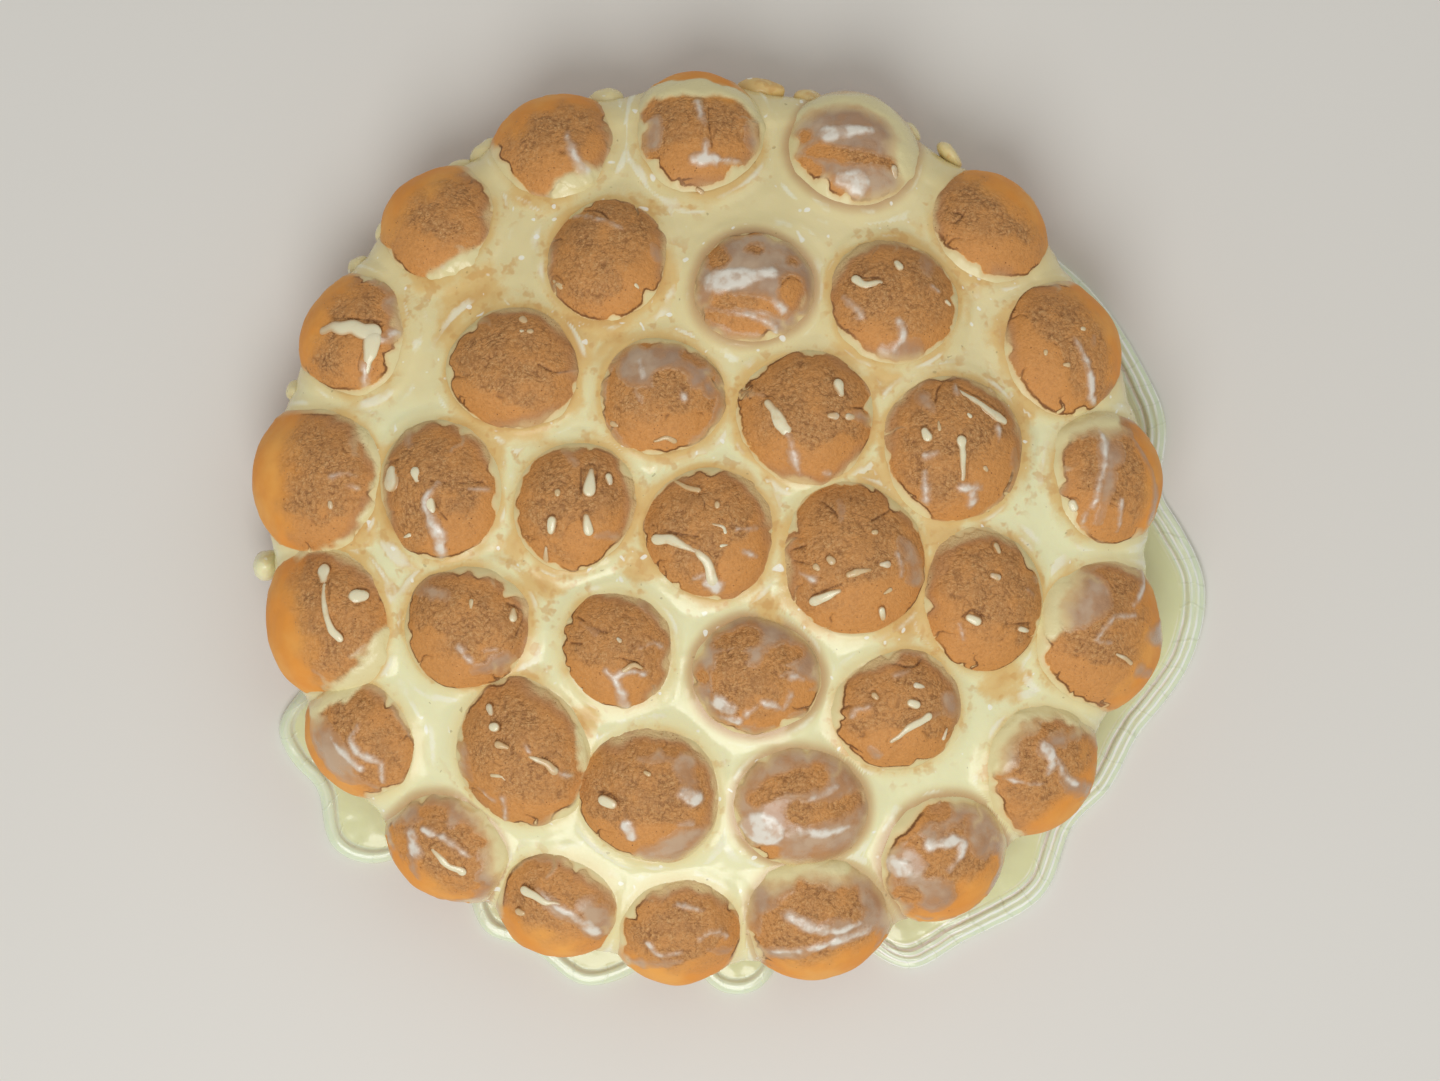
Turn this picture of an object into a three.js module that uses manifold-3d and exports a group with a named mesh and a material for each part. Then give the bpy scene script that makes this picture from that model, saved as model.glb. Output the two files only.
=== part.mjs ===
// Cinnamon honeycomb bread: 37 buns baked into one round loaf, with cream in the valleys and round its foot.
// Millimetres, +Z up. The origin is the middle of the flat base, and the rows of buns run along X.
import * as THREE from "three";
import { mergeVertices } from "three/addons/utils/BufferGeometryUtils.js";
import Module from "manifold-3d";

// The low dome on which the middles of the buns lie
const middleHeight = 40; // height of the middle of the central bun
const rimRadius = 104; // radius on which the middles of the outer buns lie
const rimDrop = 16.5; // how much lower than the central bun's they lie
const domePower = 2.84;

// Each bun: a rounded dome above its middle and a fuller, squarer foot below
const crownBase = 12; // crown height of a bun is this much and a share of its half width
const crownShare = 0.42;
const footDepth = 30;
const footLift = 0.5; // the feet end inside the core, this far above the ground
const crownPower = 2.2;
const footPower = 3;
const bunSides = 11;
const bunRings = [-90, -52, -25, 0, 23, 45, 68, 90]; // degrees above its widest ring, pole to pole
const unevenness = [0.022, 0.016]; // two-lobed and three-lobed change of a bun's half width

// Rows of buns from the back to the front. Each bun: x and y of its middle, half widths along x and y
const bunRows = {
  A: [[-40, 98, 20.5, 20.5], [-3, 101.5, 20.5, 23.5], [37, 97, 21, 22], [72, 77, 21, 20.5]],
  B: [[-70, 78, 20.5, 20.5], [-26, 68, 20.5, 20.5], [11, 61, 20.5, 19], [47, 57, 22, 20.5], [91, 46, 22, 22]],
  C: [[-92, 49, 20.5, 20.5], [-50, 40, 22, 21], [-13, 33, 20.5, 20], [25, 28, 22.5, 21.5], [62, 20, 22.5, 24],
    [102.5, 12, 21.5, 21.5]],
  D: [[-102, 12, 23.5, 24], [-69, 9, 20, 23.5], [-35, 5, 20.5, 21], [0, -2, 21.5, 22], [37, -9, 22.5, 25],
    [70, -19, 20.5, 23], [101, -28, 23.5, 24]],
  E: [[-99, -25, 23.5, 23.5], [-62, -26, 21.5, 20.5], [-24, -32, 19.5, 19.5], [12, -39, 21.5, 19.5],
    [48, -47, 21.5, 20.5], [85.5, -63, 21, 21.5]],
  F: [[-90, -55, 20.5, 20.5], [-48, -58, 22, 24], [-15, -69, 22.5, 23], [23, -72, 22, 20.5], [60, -86, 22, 22]],
  G: [[-68, -83, 20.5, 20.5], [-39, -98, 20.5, 20.5], [-8, -105, 20.5, 20.5], [28, -101.5, 23.5, 22.5]],
};

// Dough that joins the buns up to their creases: how far it stands above the dome of their middles
const coreHeight = 11;
const coreSides = 16;
const coreTopSteps = 2;
const coreSide = [[0, 0], [108, 0], [112, 7], [112.5, 22]]; // radius and height, from the base's middle to the side

// Thick drizzle on the crowns: the bun, the stroke's width and its path from the crown's middle
const drizzleHeight = 0.9; // half height as a share of half the width
const drizzleSink = 0.5; // how deep its widest part lies in the crust
const drizzleSides = 6;
const drizzleRings = 4;
const drizzle = [
  { bun: "B4", width: 2.6, path: [[-11, 4.5], [-9, 3], [-5, 3]] },
  { bun: "C1", width: 4.6, path: [[-5, 0], [2, 0], [9, -1]] },
  { bun: "C1", width: 4, path: [[9, -3], [8.5, -7], [7, -11]] },
  { bun: "C4", width: 3.6, path: [[-10.5, 3], [-8.5, 0], [-6, -4]] },
  { bun: "C4", width: 2.8, path: [[8, 8], [8.5, 5.5]] },
  { bun: "C5", width: 2.6, path: [[1, 14], [7, 10.5], [13, 7]] },
  { bun: "C5", width: 2.4, path: [[0.5, 1], [1, -4], [1, -9]] },
  { bun: "C5", width: 2.6, path: [[-9, 3.5], [-8.5, 2]] },
  { bun: "C6", width: 2.6, path: [[-13, -7], [-12.5, -8]] },
  { bun: "D2", width: 4.4, path: [[-12, 4.5], [-12, 2]] },
  { bun: "D2", width: 3.8, path: [[-1, -3.5], [0.5, -9], [1, -14]] },
  { bun: "D3", width: 3.2, path: [[5, 9], [4.5, 4]] },
  { bun: "D3", width: 2.7, path: [[-5, -4], [-5.5, -6.5]] },
  { bun: "D3", width: 2.7, path: [[4, -3], [4.5, -6.5]] },
  { bun: "D4", width: 2.8, path: [[-13.5, -1.5], [-9.5, -2], [-4, -4.5]] },
  { bun: "D4", width: 3, path: [[-4, -4.5], [-0.5, -7.5], [1, -12]] },
  { bun: "D5", width: 2.4, path: [[-10.5, -10.5], [-7.5, -9], [-4.5, -8]] },
  { bun: "D6", width: 2.7, path: [[-6, -4], [-4, -5]] },
  { bun: "E1", width: 3.4, path: [[3, 14.5], [3.5, 12.5]] },
  { bun: "E1", width: 2.4, path: [[4, 11], [5.5, 4], [8.5, -3]] },
  { bun: "E1", width: 3.4, path: [[12.5, 8], [13.5, 8]] },
  { bun: "E5", width: 2.4, path: [[-2.5, -7.5], [1.5, -3.5], [7, -1]] },
  { bun: "F3", width: 3.5, path: [[-12, 0], [-10, -0.5]] },
  { bun: "G1", width: 2.6, path: [[-0.5, 3], [2.5, -0.5], [6.5, -3.5]] },
  { bun: "G2", width: 2.4, path: [[-7.5, 7.5], [-2, 5.5], [2, 4.5]] },
];

// Cream in the valleys: its surface stands this far above the dome of the bun middles
const creamHeight = 13.8;
const creamSwell = 0.5; // height of its slow waves
const creamWaveLengths = [13, 11, 7]; // a wave along x, one along y and one across both, per radian
const creamSides = 20;
const creamTopSteps = 4;
const creamRimSteps = 2; // steps of the bend from the top to the side
const creamFootSteps = 2; // steps from the foot up to that bend
const creamRimReach = 16.5; // how far out of the rim radius it stands between the outer buns
const creamFootDraw = 12; // how much it draws in towards the foot
const creamFootPower = 1.6;
const creamFoot = 8; // height at which the runs between the outer buns end
const creamFootWave = 2.2;
const creamFootWaves = 5; // waves round the foot
const creamFloorRadius = 60;

// Lumps where the cream has run over the edge: bearing, distance from the middle, height, half size
const creamLumps = [
  [185, 124, 15, 4.6], [137, 118, 24, 4.4], [123, 121, 22, 4.4], [83, 121, 25, 4.6], [60, 121, 24, 4.4],
];
const lumpSides = 7;
const lumpRings = 4;

// Cream pooled on the ground: bearing and reach of each point of the outer edge, anticlockwise
const poolHeight = 4.4;
const poolRim = [[0, 0.8], [0.35, 0], [0.8, 0.9], [1, 2.8]]; // share of the height, and how far the edge is drawn in
const poolInnerRadius = 100;
const poolInnerStep = 12; // degrees
const poolSteps = 3; // edge steps from one point to the next
const poolEdges = {
  cream_pool_right: [[-71, 124], [-66, 138], [-58, 138.5], [-48, 141.5], [-40, 134], [-33, 136], [-26, 135.5],
    [-16, 142], [-7, 142], [0, 134], [5, 128.5], [13, 133], [21, 131], [32, 127.5], [42, 122]],
  cream_pool_left: [[201, 122], [204.5, 135], [209.5, 136.5], [214, 134.5], [220, 141], [225, 136], [228, 124]],
  cream_pool_front_left: [[236, 124], [241, 132], [247, 130.5], [254, 135.5], [259, 131], [262.5, 124]],
  cream_pool_front: [[267.5, 124], [270.5, 131.5], [274, 133.5], [277, 131], [279.5, 124]],
};

const clearance = 0.3; // gap between cream and bread
const weld = 1e-4; // vertices closer than this are one

const wasm = await Module();
wasm.setup();

const toRadians = THREE.MathUtils.degToRad;
const up = new THREE.Vector3(0, 0, 1);

// The same numbers from 0 to 1 on every run
function drawsFrom(seed) {
  let state = seed;
  return () => {
    state = (Math.imul(state, 1664525) + 1013904223) >>> 0;
    return state / 2 ** 32;
  };
}

function domeDrop(radius) {
  return rimDrop * (radius / rimRadius) ** domePower;
}

function domeTilt(radius) {
  return Math.atan((rimDrop * domePower / rimRadius) * (radius / rimRadius) ** (domePower - 1));
}

// A bun's place, leaning axes and sizes
function bunFrom([x, y, halfX, halfY], draw) {
  const radius = Math.hypot(x, y);
  const bearing = Math.atan2(y, x);
  const tilt = domeTilt(radius);
  const axis = new THREE.Vector3(
    Math.sin(tilt) * Math.cos(bearing),
    Math.sin(tilt) * Math.sin(bearing),
    Math.cos(tilt),
  );
  return {
    middle: new THREE.Vector3(x, y, middleHeight - domeDrop(radius)),
    turn: new THREE.Quaternion().setFromUnitVectors(up, axis),
    halfX,
    halfY,
    crown: crownBase + crownShare * (halfX + halfY) / 2,
    phases: [2 * Math.PI * draw(), 2 * Math.PI * draw()],
  };
}

// How far a bun's outline departs from an even oval
function lobes(bun, angle) {
  const twoLobed = unevenness[0] * Math.cos(2 * angle + bun.phases[0]);
  const threeLobed = unevenness[1] * Math.cos(3 * angle + bun.phases[1]);
  return 1 + twoLobed + threeLobed;
}

function place(bun, local) {
  return local.applyQuaternion(bun.turn).add(bun.middle);
}

// Height of the crown above the bun's middle at a place on it
function crownAt(bun, x, y) {
  const angle = Math.atan2(y / bun.halfY, x / bun.halfX);
  const reach = Math.hypot(x / bun.halfX, y / bun.halfY) / lobes(bun, angle);
  return bun.crown * (1 - Math.min(reach, 1) ** crownPower) ** (1 / crownPower);
}

function solidOf(geometry) {
  geometry.deleteAttribute("normal");
  geometry.deleteAttribute("uv");
  const merged = mergeVertices(geometry, weld);
  return new wasm.Manifold(new wasm.Mesh({
    numProp: 3,
    vertProperties: merged.attributes.position.array,
    triVerts: new Uint32Array(merged.index.array),
  }));
}

function joined(solids) {
  return solids.reduce((whole, solid) => whole.add(solid));
}

// The largest closed shell: sealed hollows and loose scraps are dropped
function largestShell(solid) {
  return solid.decompose().reduce((best, shell) => (shell.volume() > best.volume() ? shell : best));
}

// Moves every vertex of a geometry to the place that a function gives for it
function reshaped(geometry, placeOf) {
  const position = geometry.attributes.position;
  const vertex = new THREE.Vector3();
  for (let i = 0; i < position.count; i++) {
    vertex.fromBufferAttribute(position, i);
    const moved = placeOf(vertex);
    position.setXYZ(i, moved.x, moved.y, moved.z);
  }
  return geometry;
}

function bunSolid(bun, grown) {
  const meridian = bunRings.map((angle) => {
    const isPole = Math.abs(angle) === 90;
    return new THREE.Vector2(isPole ? 0 : Math.cos(toRadians(angle)), Math.sin(toRadians(angle)));
  });
  const sphere = new THREE.LatheGeometry(meridian, bunSides).rotateX(Math.PI / 2);
  return solidOf(reshaped(sphere, (v) => {
    const power = v.z > 0 ? crownPower : footPower;
    const height = v.z > 0 ? bun.crown : footDepth;
    const across = Math.hypot(v.x, v.y);
    const spread = across > 0 ? across ** (2 / power - 1) * lobes(bun, Math.atan2(v.y, v.x)) : 0;
    const placed = place(bun, new THREE.Vector3(
      v.x * spread * (bun.halfX + grown),
      v.y * spread * (bun.halfY + grown),
      Math.sign(v.z) * Math.abs(v.z) ** (2 / power) * (height + grown),
    ));
    placed.z = Math.max(placed.z, grown > 0 ? -footLift : footLift);
    return placed;
  }));
}

// A point of the meridian that stands a given height above the dome of the bun middles
function aboveDome(radius, height) {
  const tilt = domeTilt(radius);
  return new THREE.Vector2(
    radius > 0 ? radius + height * Math.sin(tilt) : 0,
    middleHeight - domeDrop(radius) + height * Math.cos(tilt),
  );
}

function coreSolid(grown) {
  const profile = coreSide.map(([radius, z]) => (
    new THREE.Vector2(radius > 0 ? radius + grown : 0, z > 0 ? z : -grown)
  ));
  for (let i = coreTopSteps; i >= 0; i--) {
    profile.push(aboveDome(rimRadius * i / coreTopSteps, coreHeight + grown));
  }
  return solidOf(new THREE.LatheGeometry(profile, coreSides).rotateX(Math.PI / 2));
}

// A stroke or a drop of drizzle: a ball drawn out along its path over the crown
function drizzleSolid({ width, path }, bun) {
  const route = new THREE.CatmullRomCurve3(path.map(([x, y]) => new THREE.Vector3(x, y, 0)));
  const half = width / 2;
  const ends = half / route.getLength();
  const ball = new THREE.SphereGeometry(1, drizzleSides, drizzleRings);
  return solidOf(reshaped(ball, (v) => {
    const along = THREE.MathUtils.lerp(-ends, 1 + ends, (v.y + 1) / 2);
    const inside = THREE.MathUtils.clamp(along, 0, 1);
    const tangent = route.getTangentAt(inside);
    const beyond = (along - inside) * route.getLength();
    const spine = route.getPointAt(inside).addScaledVector(tangent, beyond);
    const x = spine.x + tangent.y * v.x * half;
    const y = spine.y - tangent.x * v.x * half;
    return place(bun, new THREE.Vector3(x, y, crownAt(bun, x, y) - drizzleSink + v.z * half * drizzleHeight));
  }));
}

function creamWave(x, y) {
  const [alongX, alongY, across] = creamWaveLengths;
  return Math.sin(x / alongX + 1) * Math.cos(y / alongY) + Math.sin((x + y) / across) / 2;
}

// The cream's outer surface from the top's middle over the rim to the foot, as radius and height
function creamProfile() {
  const points = [new THREE.Vector2(0, creamFoot + clearance), new THREE.Vector2(creamFloorRadius, creamFoot)];
  const rimHeight = middleHeight - rimDrop;
  for (let i = 0; i < creamFootSteps; i++) {
    const z = THREE.MathUtils.lerp(creamFoot, rimHeight, i / creamFootSteps);
    const drawn = creamFootDraw * ((rimHeight - z) / rimHeight) ** creamFootPower;
    points.push(new THREE.Vector2(rimRadius + creamRimReach - drawn, z));
  }
  const rimTilt = domeTilt(rimRadius);
  for (let i = 0; i < creamRimSteps; i++) {
    const share = i / creamRimSteps;
    const tilt = THREE.MathUtils.lerp(Math.PI / 2, rimTilt, share);
    const reach = THREE.MathUtils.lerp(creamRimReach, creamHeight, share);
    points.push(new THREE.Vector2(rimRadius + reach * Math.sin(tilt), rimHeight + reach * Math.cos(tilt)));
  }
  for (let i = creamTopSteps; i >= 0; i--) {
    points.push(aboveDome(rimRadius * i / creamTopSteps, creamHeight));
  }
  return points;
}

function creamSolid(cutter) {
  const block = new THREE.LatheGeometry(creamProfile(), creamSides).rotateX(Math.PI / 2);
  const swollen = reshaped(block, (v) => {
    const radius = Math.hypot(v.x, v.y);
    const isFoot = v.z < creamFoot + 1 && radius > 0;
    const footRise = creamFootWave * Math.sin(creamFootWaves * Math.atan2(v.y, v.x));
    const rise = isFoot ? footRise : creamSwell * creamWave(v.x, v.y);
    return new THREE.Vector3(v.x, v.y, radius > 0 ? v.z + rise : v.z);
  });
  const lumps = creamLumps.map(([bearing, radius, height, size]) => {
    const ball = new THREE.SphereGeometry(size, lumpSides, lumpRings);
    ball.translate(radius * Math.cos(toRadians(bearing)), radius * Math.sin(toRadians(bearing)), height);
    return solidOf(ball);
  });
  return largestShell(joined([solidOf(swollen), ...lumps]).subtract(cutter));
}

// A pool: a smooth outer edge round the loaf's foot, closed by an arc under the loaf, with a rounded rim
function poolSolid(edge, cutter) {
  const atBearing = (bearing, reach) => new THREE.Vector2(
    reach * Math.cos(toRadians(bearing)),
    reach * Math.sin(toRadians(bearing)),
  );
  const outer = new THREE.SplineCurve(edge.map(([bearing, reach]) => atBearing(bearing, reach)));
  const points = outer.getPoints(poolSteps * (edge.length - 1));
  const [first, last] = [edge[0][0], edge.at(-1)[0]];
  const innerSteps = Math.ceil((last - first) / poolInnerStep);
  for (let i = 0; i <= innerSteps; i++) {
    points.push(atBearing(THREE.MathUtils.lerp(last, first, i / innerSteps), poolInnerRadius));
  }
  const levels = poolRim.length - 1;
  const options = { depth: 1, steps: levels, bevelEnabled: false };
  const slab = new THREE.ExtrudeGeometry(new THREE.Shape(points), options);
  return largestShell(solidOf(reshaped(slab, (v) => {
    const [height, draw] = poolRim[Math.round(v.z * levels)];
    const radius = Math.hypot(v.x, v.y);
    const share = (radius - draw) / radius;
    return new THREE.Vector3(v.x * share, v.y * share, height * poolHeight);
  })).subtract(cutter));
}

function meshOf(name, solid, color, roughness) {
  const { vertProperties, triVerts } = solid.getMesh();
  const geometry = new THREE.BufferGeometry();
  geometry.setAttribute("position", new THREE.BufferAttribute(vertProperties, 3));
  geometry.setIndex(new THREE.BufferAttribute(triVerts, 1));
  const mesh = new THREE.Mesh(geometry, new THREE.MeshStandardMaterial({ color, roughness, metalness: 0 }));
  mesh.name = name;
  return mesh;
}

const draw = drawsFrom(37);
const buns = {};
for (const [row, places] of Object.entries(bunRows)) {
  places.forEach((numbers, i) => {
    buns[row + (i + 1)] = bunFrom(numbers, draw);
  });
}

function loafSolid(grown) {
  return joined([coreSolid(grown), ...Object.values(buns).map((bun) => bunSolid(bun, grown))]);
}

const loaf = loafSolid(0);
const toppings = drizzle.map((stroke) => drizzleSolid(stroke, buns[stroke.bun]));
const bread = largestShell(joined([loaf, ...toppings]));
const cutter = loafSolid(clearance);
const cream = creamSolid(cutter);

const honeycombBread = new THREE.Group();
honeycombBread.add(meshOf("bread", bread, 0xb8763c, 0.6));
honeycombBread.add(meshOf("cream_net", cream, 0xded6a5, 0.25));
for (const [name, edge] of Object.entries(poolEdges)) {
  honeycombBread.add(meshOf(name, poolSolid(edge, cutter), 0xd0d7aa, 0.2));
}

export default honeycombBread;
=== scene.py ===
import math

import bpy
import numpy as np
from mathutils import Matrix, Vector


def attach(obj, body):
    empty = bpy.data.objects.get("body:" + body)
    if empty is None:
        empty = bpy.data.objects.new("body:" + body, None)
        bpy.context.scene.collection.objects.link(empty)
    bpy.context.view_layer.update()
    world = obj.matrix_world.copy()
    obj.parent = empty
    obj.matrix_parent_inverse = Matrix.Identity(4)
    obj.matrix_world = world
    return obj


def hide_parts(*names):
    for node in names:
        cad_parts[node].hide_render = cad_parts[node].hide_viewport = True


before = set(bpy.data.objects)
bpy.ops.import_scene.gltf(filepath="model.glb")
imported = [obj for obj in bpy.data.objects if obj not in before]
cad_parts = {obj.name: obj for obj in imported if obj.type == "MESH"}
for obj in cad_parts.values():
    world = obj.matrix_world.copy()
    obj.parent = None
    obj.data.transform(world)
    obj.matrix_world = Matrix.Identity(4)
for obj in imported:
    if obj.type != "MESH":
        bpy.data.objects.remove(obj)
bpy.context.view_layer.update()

mm = 0.001

# Cinnamon honeycomb bread seen from above: buns, cream between them, milky film, drizzle and pools.
# Shapes are worked out in millimetres and become metres when a mesh is made.

# Seeded noise on arrays of points

def hashCells(cells, seed):
    x, y, z = (cells[..., i].astype(np.uint32) for i in range(3))
    with np.errstate(over="ignore"):
        mixed = x * np.uint32(374761393) + y * np.uint32(668265263) + z * np.uint32(2246822519)
        mixed = mixed + np.uint32(seed * 3266489917 % 2 ** 32)
        mixed = (mixed ^ (mixed >> np.uint32(13))) * np.uint32(1274126177)
        mixed = mixed ^ (mixed >> np.uint32(16))
    return mixed.astype(np.float64) / 2 ** 31 - 1


def smoothNoise(points, size, seed):
    scaled = points / size
    cells = np.floor(scaled).astype(np.int64)
    part = scaled - cells
    part = part * part * (3 - 2 * part)
    total = 0
    for corner in np.ndindex(2, 2, 2):
        weight = np.prod(np.where(np.array(corner), part, 1 - part), axis=-1)
        total = total + weight * hashCells(cells + np.array(corner), seed)
    return total


def layeredNoise(points, size, seed, layers=3):
    total, weight = 0, 1.0
    for layer in range(layers):
        total = total + weight * smoothNoise(points, size / 2 ** layer, seed + layer)
        weight /= 2
    return total


def smoothStep(low, high, value):
    part = np.clip((value - low) / (high - low), 0, 1)
    return part * part * (3 - 2 * part)


# Curves and distances

def polar(radius, bearing, height=None):
    # places at a radius and bearing, with a height where one is given
    x, y = radius * np.cos(bearing), radius * np.sin(bearing)
    if height is None:
        return np.stack([x, y], axis=-1)
    return np.stack([x, y, np.broadcast_to(height, x.shape)], axis=-1)


def roundedPath(path, steps=12):
    points = np.array(path, float)
    if len(points) < 3:
        return np.linspace(points[0], points[-1], steps)
    padded = np.vstack([2 * points[0] - points[1], points, 2 * points[-1] - points[-2]])
    made = []
    for i in range(1, len(padded) - 2):
        a, b, c, d = padded[i - 1:i + 3]
        for t in np.linspace(0, 1, steps, endpoint=False):
            made.append(0.5 * (2 * b + (c - a) * t + (2 * a - 5 * b + 4 * c - d) * t ** 2
                               + (3 * b - a - 3 * c + d) * t ** 3))
    return np.array(made + [points[-1]])


def pathLengths(path):
    # length along a path up to each of its points
    return np.concatenate([[0], np.cumsum(np.linalg.norm(np.diff(path, axis=0), axis=1))])


def distanceToPath(places, path, widths=None):
    # distance to a path's line or, with a half width for each of its points, to the edge of its stroke
    best = np.full(len(places), 1e9)
    widths = np.zeros(len(path)) if widths is None else widths
    for start, end, first, last in zip(path[:-1], path[1:], widths[:-1], widths[1:]):
        along = end - start
        share = np.clip(((places - start) @ along) / (along @ along + 1e-12), 0, 1)
        gap = np.linalg.norm(places - start - share[:, None] * along, axis=1) - first - (last - first) * share
        best = np.minimum(best, gap)
    return best


def strokeWidths(path, width, seed):
    # half widths along a stroke: uneven, and thinner towards one end
    lengths = pathLengths(path)
    spots = np.column_stack([lengths, np.full(len(path), 3.0 * seed), np.zeros(len(path))])
    share = lengths / lengths[-1]
    if seed % 2:
        share = 1 - share
    taper = 1.02 - 0.5 * share ** 1.5 * min(1.0, lengths[-1] / (1.5 * width))
    return width / 2 * taper * (1 + 0.24 * smoothNoise(spots, 2.0, seed))


# The dome that carries the buns

loafShape = {
    "middleHeight": 40.0,   # height of the central bun's middle
    "rimRadius": 104.0,     # radius of the outer ring of middles
    "rimDrop": 16.5,
    "domePower": 2.84,
    "coreDepth": 3.0,       # how far the top of the core lies below the bun middles
    "coreSide": [(60.0, 0.0), (108.0, 0.0), (112.0, 7.0), (112.5, 22.0)],
    "coreTop": [106.0, 80.0, 50.0, 20.0],
    "coreLift": 0.05,
    "coreSides": 180,
    "coreWave": 0.004,      # how wavy its foot is, as a share of the radius
    "coreWaves": 9,
}


def domeDrop(radius):
    return loafShape["rimDrop"] * (radius / loafShape["rimRadius"]) ** loafShape["domePower"]


def domeTilt(radius):
    power = loafShape["domePower"]
    slope = loafShape["rimDrop"] * power / loafShape["rimRadius"]
    return np.arctan(slope * (radius / loafShape["rimRadius"]) ** (power - 1))


def drawsFrom(seed):
    state = seed
    while True:
        state = (state * 1664525 + 1013904223) % 2 ** 32
        yield state / 2 ** 32


bunShape = {
    "crownBase": 12.0,
    "crownShare": 0.42,
    "footDepth": 30.0,
    "footLift": 0.5,
    "crownPower": 2.2,
    "footPower": 3.0,
    "twoLobed": 0.022,
    "threeLobed": 0.016,
    "gridCells": 88,        # cells across the top of a bun
    "gridAngle": 60.0,      # how far the grid reaches down from the top, in degrees
    "skirtAngles": [63, 66, 70, 74, 78, 82, 86, 90, 95, 101, 110, 122, 140, 160],
    "crustShare": 0.9,      # half width of the cinnamon crust as a share of the bun's
    "lump": 0.35,           # height of the dough's slow unevenness
    "lumpSize": 9.0,
    "crustLift": 0.3,       # how far the cinnamon crust stands above the dough
    "rimBuns": 85.0,        # buns farther out than this have a golden side
    "crustOut": 0.38,       # how far out their crust reaches, as a share of the half width
    "grain": 0.16,
    "crack": 0.6,           # depth of the crust's cracks
    "filmLift": 0.25,
    "thickLift": 0.35,
    "creamLift": 0.35,
    "edgeCracks": 3,        # short cracks in from the edge of each crust
    "notches": 7,           # cuts round it, and up to three more
    "lobes": 1.2,           # mm that its edge wanders in and out, from wide to fine
    "scallops": 0.6,
    "crumbs": 0.3,
    "filmReach": 13.0,      # mm that film creeps in where milk is 1
    "goldenFade": (-6.5, 4.0),  # mm past the crust over which the golden side begins
    "sandyReach": 0.34,     # how far to the front the crust is sandy, as a share of the half width
    "sandyWander": 4.4,
    "sandyLean": 0.9,
    "seed": 37,
}

# Rows of buns from the back to the front: x and y of the middle, half widths along x and y
bunRows = {
    "A": [(-40, 98, 20.5, 20.5), (-3, 101.5, 20.5, 23.5), (37, 97, 21, 22), (72, 77, 21, 20.5)],
    "B": [(-70, 78, 20.5, 20.5), (-26, 68, 20.5, 20.5), (11, 61, 20.5, 19), (47, 57, 22, 20.5),
          (91, 46, 22, 22)],
    "C": [(-92, 49, 20.5, 20.5), (-50, 40, 22, 21), (-13, 33, 20.5, 20), (25, 28, 22.5, 21.5),
          (62, 20, 22.5, 24), (102.5, 12, 21.5, 21.5)],
    "D": [(-102, 12, 23.5, 24), (-69, 9, 20, 23.5), (-35, 5, 20.5, 21), (0, -2, 21.5, 22),
          (37, -9, 22.5, 25), (70, -19, 20.5, 23), (101, -28, 23.5, 24)],
    "E": [(-99, -25, 23.5, 23.5), (-62, -26, 21.5, 20.5), (-24, -32, 19.5, 19.5), (12, -39, 21.5, 19.5),
          (48, -47, 21.5, 20.5), (85.5, -63, 21, 21.5)],
    "F": [(-90, -55, 20.5, 20.5), (-48, -58, 22, 24), (-15, -69, 22.5, 23), (23, -72, 22, 20.5),
          (60, -86, 22, 22)],
    "G": [(-68, -83, 20.5, 20.5), (-39, -98, 20.5, 20.5), (-8, -105, 20.5, 20.5), (28, -101.5, 23.5, 22.5)],
}


def makeBuns():
    draws, made = drawsFrom(bunShape["seed"]), {}
    for row, places in bunRows.items():
        for i, (x, y, halfX, halfY) in enumerate(places):
            radius, bearing = math.hypot(x, y), math.atan2(y, x)
            tilt = float(domeTilt(radius))
            lean = math.sin(tilt)
            axis = Vector((lean * math.cos(bearing), lean * math.sin(bearing), math.cos(tilt)))
            turn = Vector((0, 0, 1)).rotation_difference(axis).to_matrix()
            made[row + str(i + 1)] = {
                "middle": np.array([x, y, loafShape["middleHeight"] - domeDrop(radius)]),
                "axes": np.array(turn.transposed()),
                "halfX": halfX,
                "halfY": halfY,
                "crown": bunShape["crownBase"] + bunShape["crownShare"] * (halfX + halfY) / 2,
                "phases": (2 * math.pi * next(draws), 2 * math.pi * next(draws)),
            }
    return made


buns = makeBuns()


def lobes(bun, angle):
    return (1 + bunShape["twoLobed"] * np.cos(2 * angle + bun["phases"][0])
            + bunShape["threeLobed"] * np.cos(3 * angle + bun["phases"][1]))


def localPlaces(bun, points):
    return (points - bun["middle"]) @ bun["axes"].T


def crownHeight(bun, x, y):
    angle = np.arctan2(y / bun["halfY"], x / bun["halfX"])
    reach = np.minimum(np.hypot(x / bun["halfX"], y / bun["halfY"]) / lobes(bun, angle), 1)
    return bun["crown"] * (1 - reach ** bunShape["crownPower"]) ** (1 / bunShape["crownPower"])


def gapToBun(bun, points):
    # distance from a bun's skin along the ray from its middle, below 0 inside
    x, y, z = localPlaces(bun, points).T
    angle = np.arctan2(y / bun["halfY"], x / bun["halfX"])
    reach = np.hypot(x / bun["halfX"], y / bun["halfY"]) / lobes(bun, angle)
    power = np.where(z > 0, bunShape["crownPower"], bunShape["footPower"])
    height = np.abs(z) / np.where(z > 0, bun["crown"], bunShape["footDepth"])
    level = (reach ** power + height ** power) ** (1 / power)
    return np.sqrt(x * x + y * y + z * z) * (1 - 1 / np.maximum(level, 1e-6))


def gapToLoaf(points):
    gaps = np.full(len(points), 1e9)
    nearest = np.zeros(len(points), int)
    for i, bun in enumerate(buns.values()):
        near = np.linalg.norm(points - bun["middle"], axis=1) < 45
        gap = gapToBun(bun, points[near])
        closer = gap < gaps[near]
        places = np.flatnonzero(near)[closer]
        gaps[places] = gap[closer]
        nearest[places] = i
    return gaps, nearest


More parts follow.
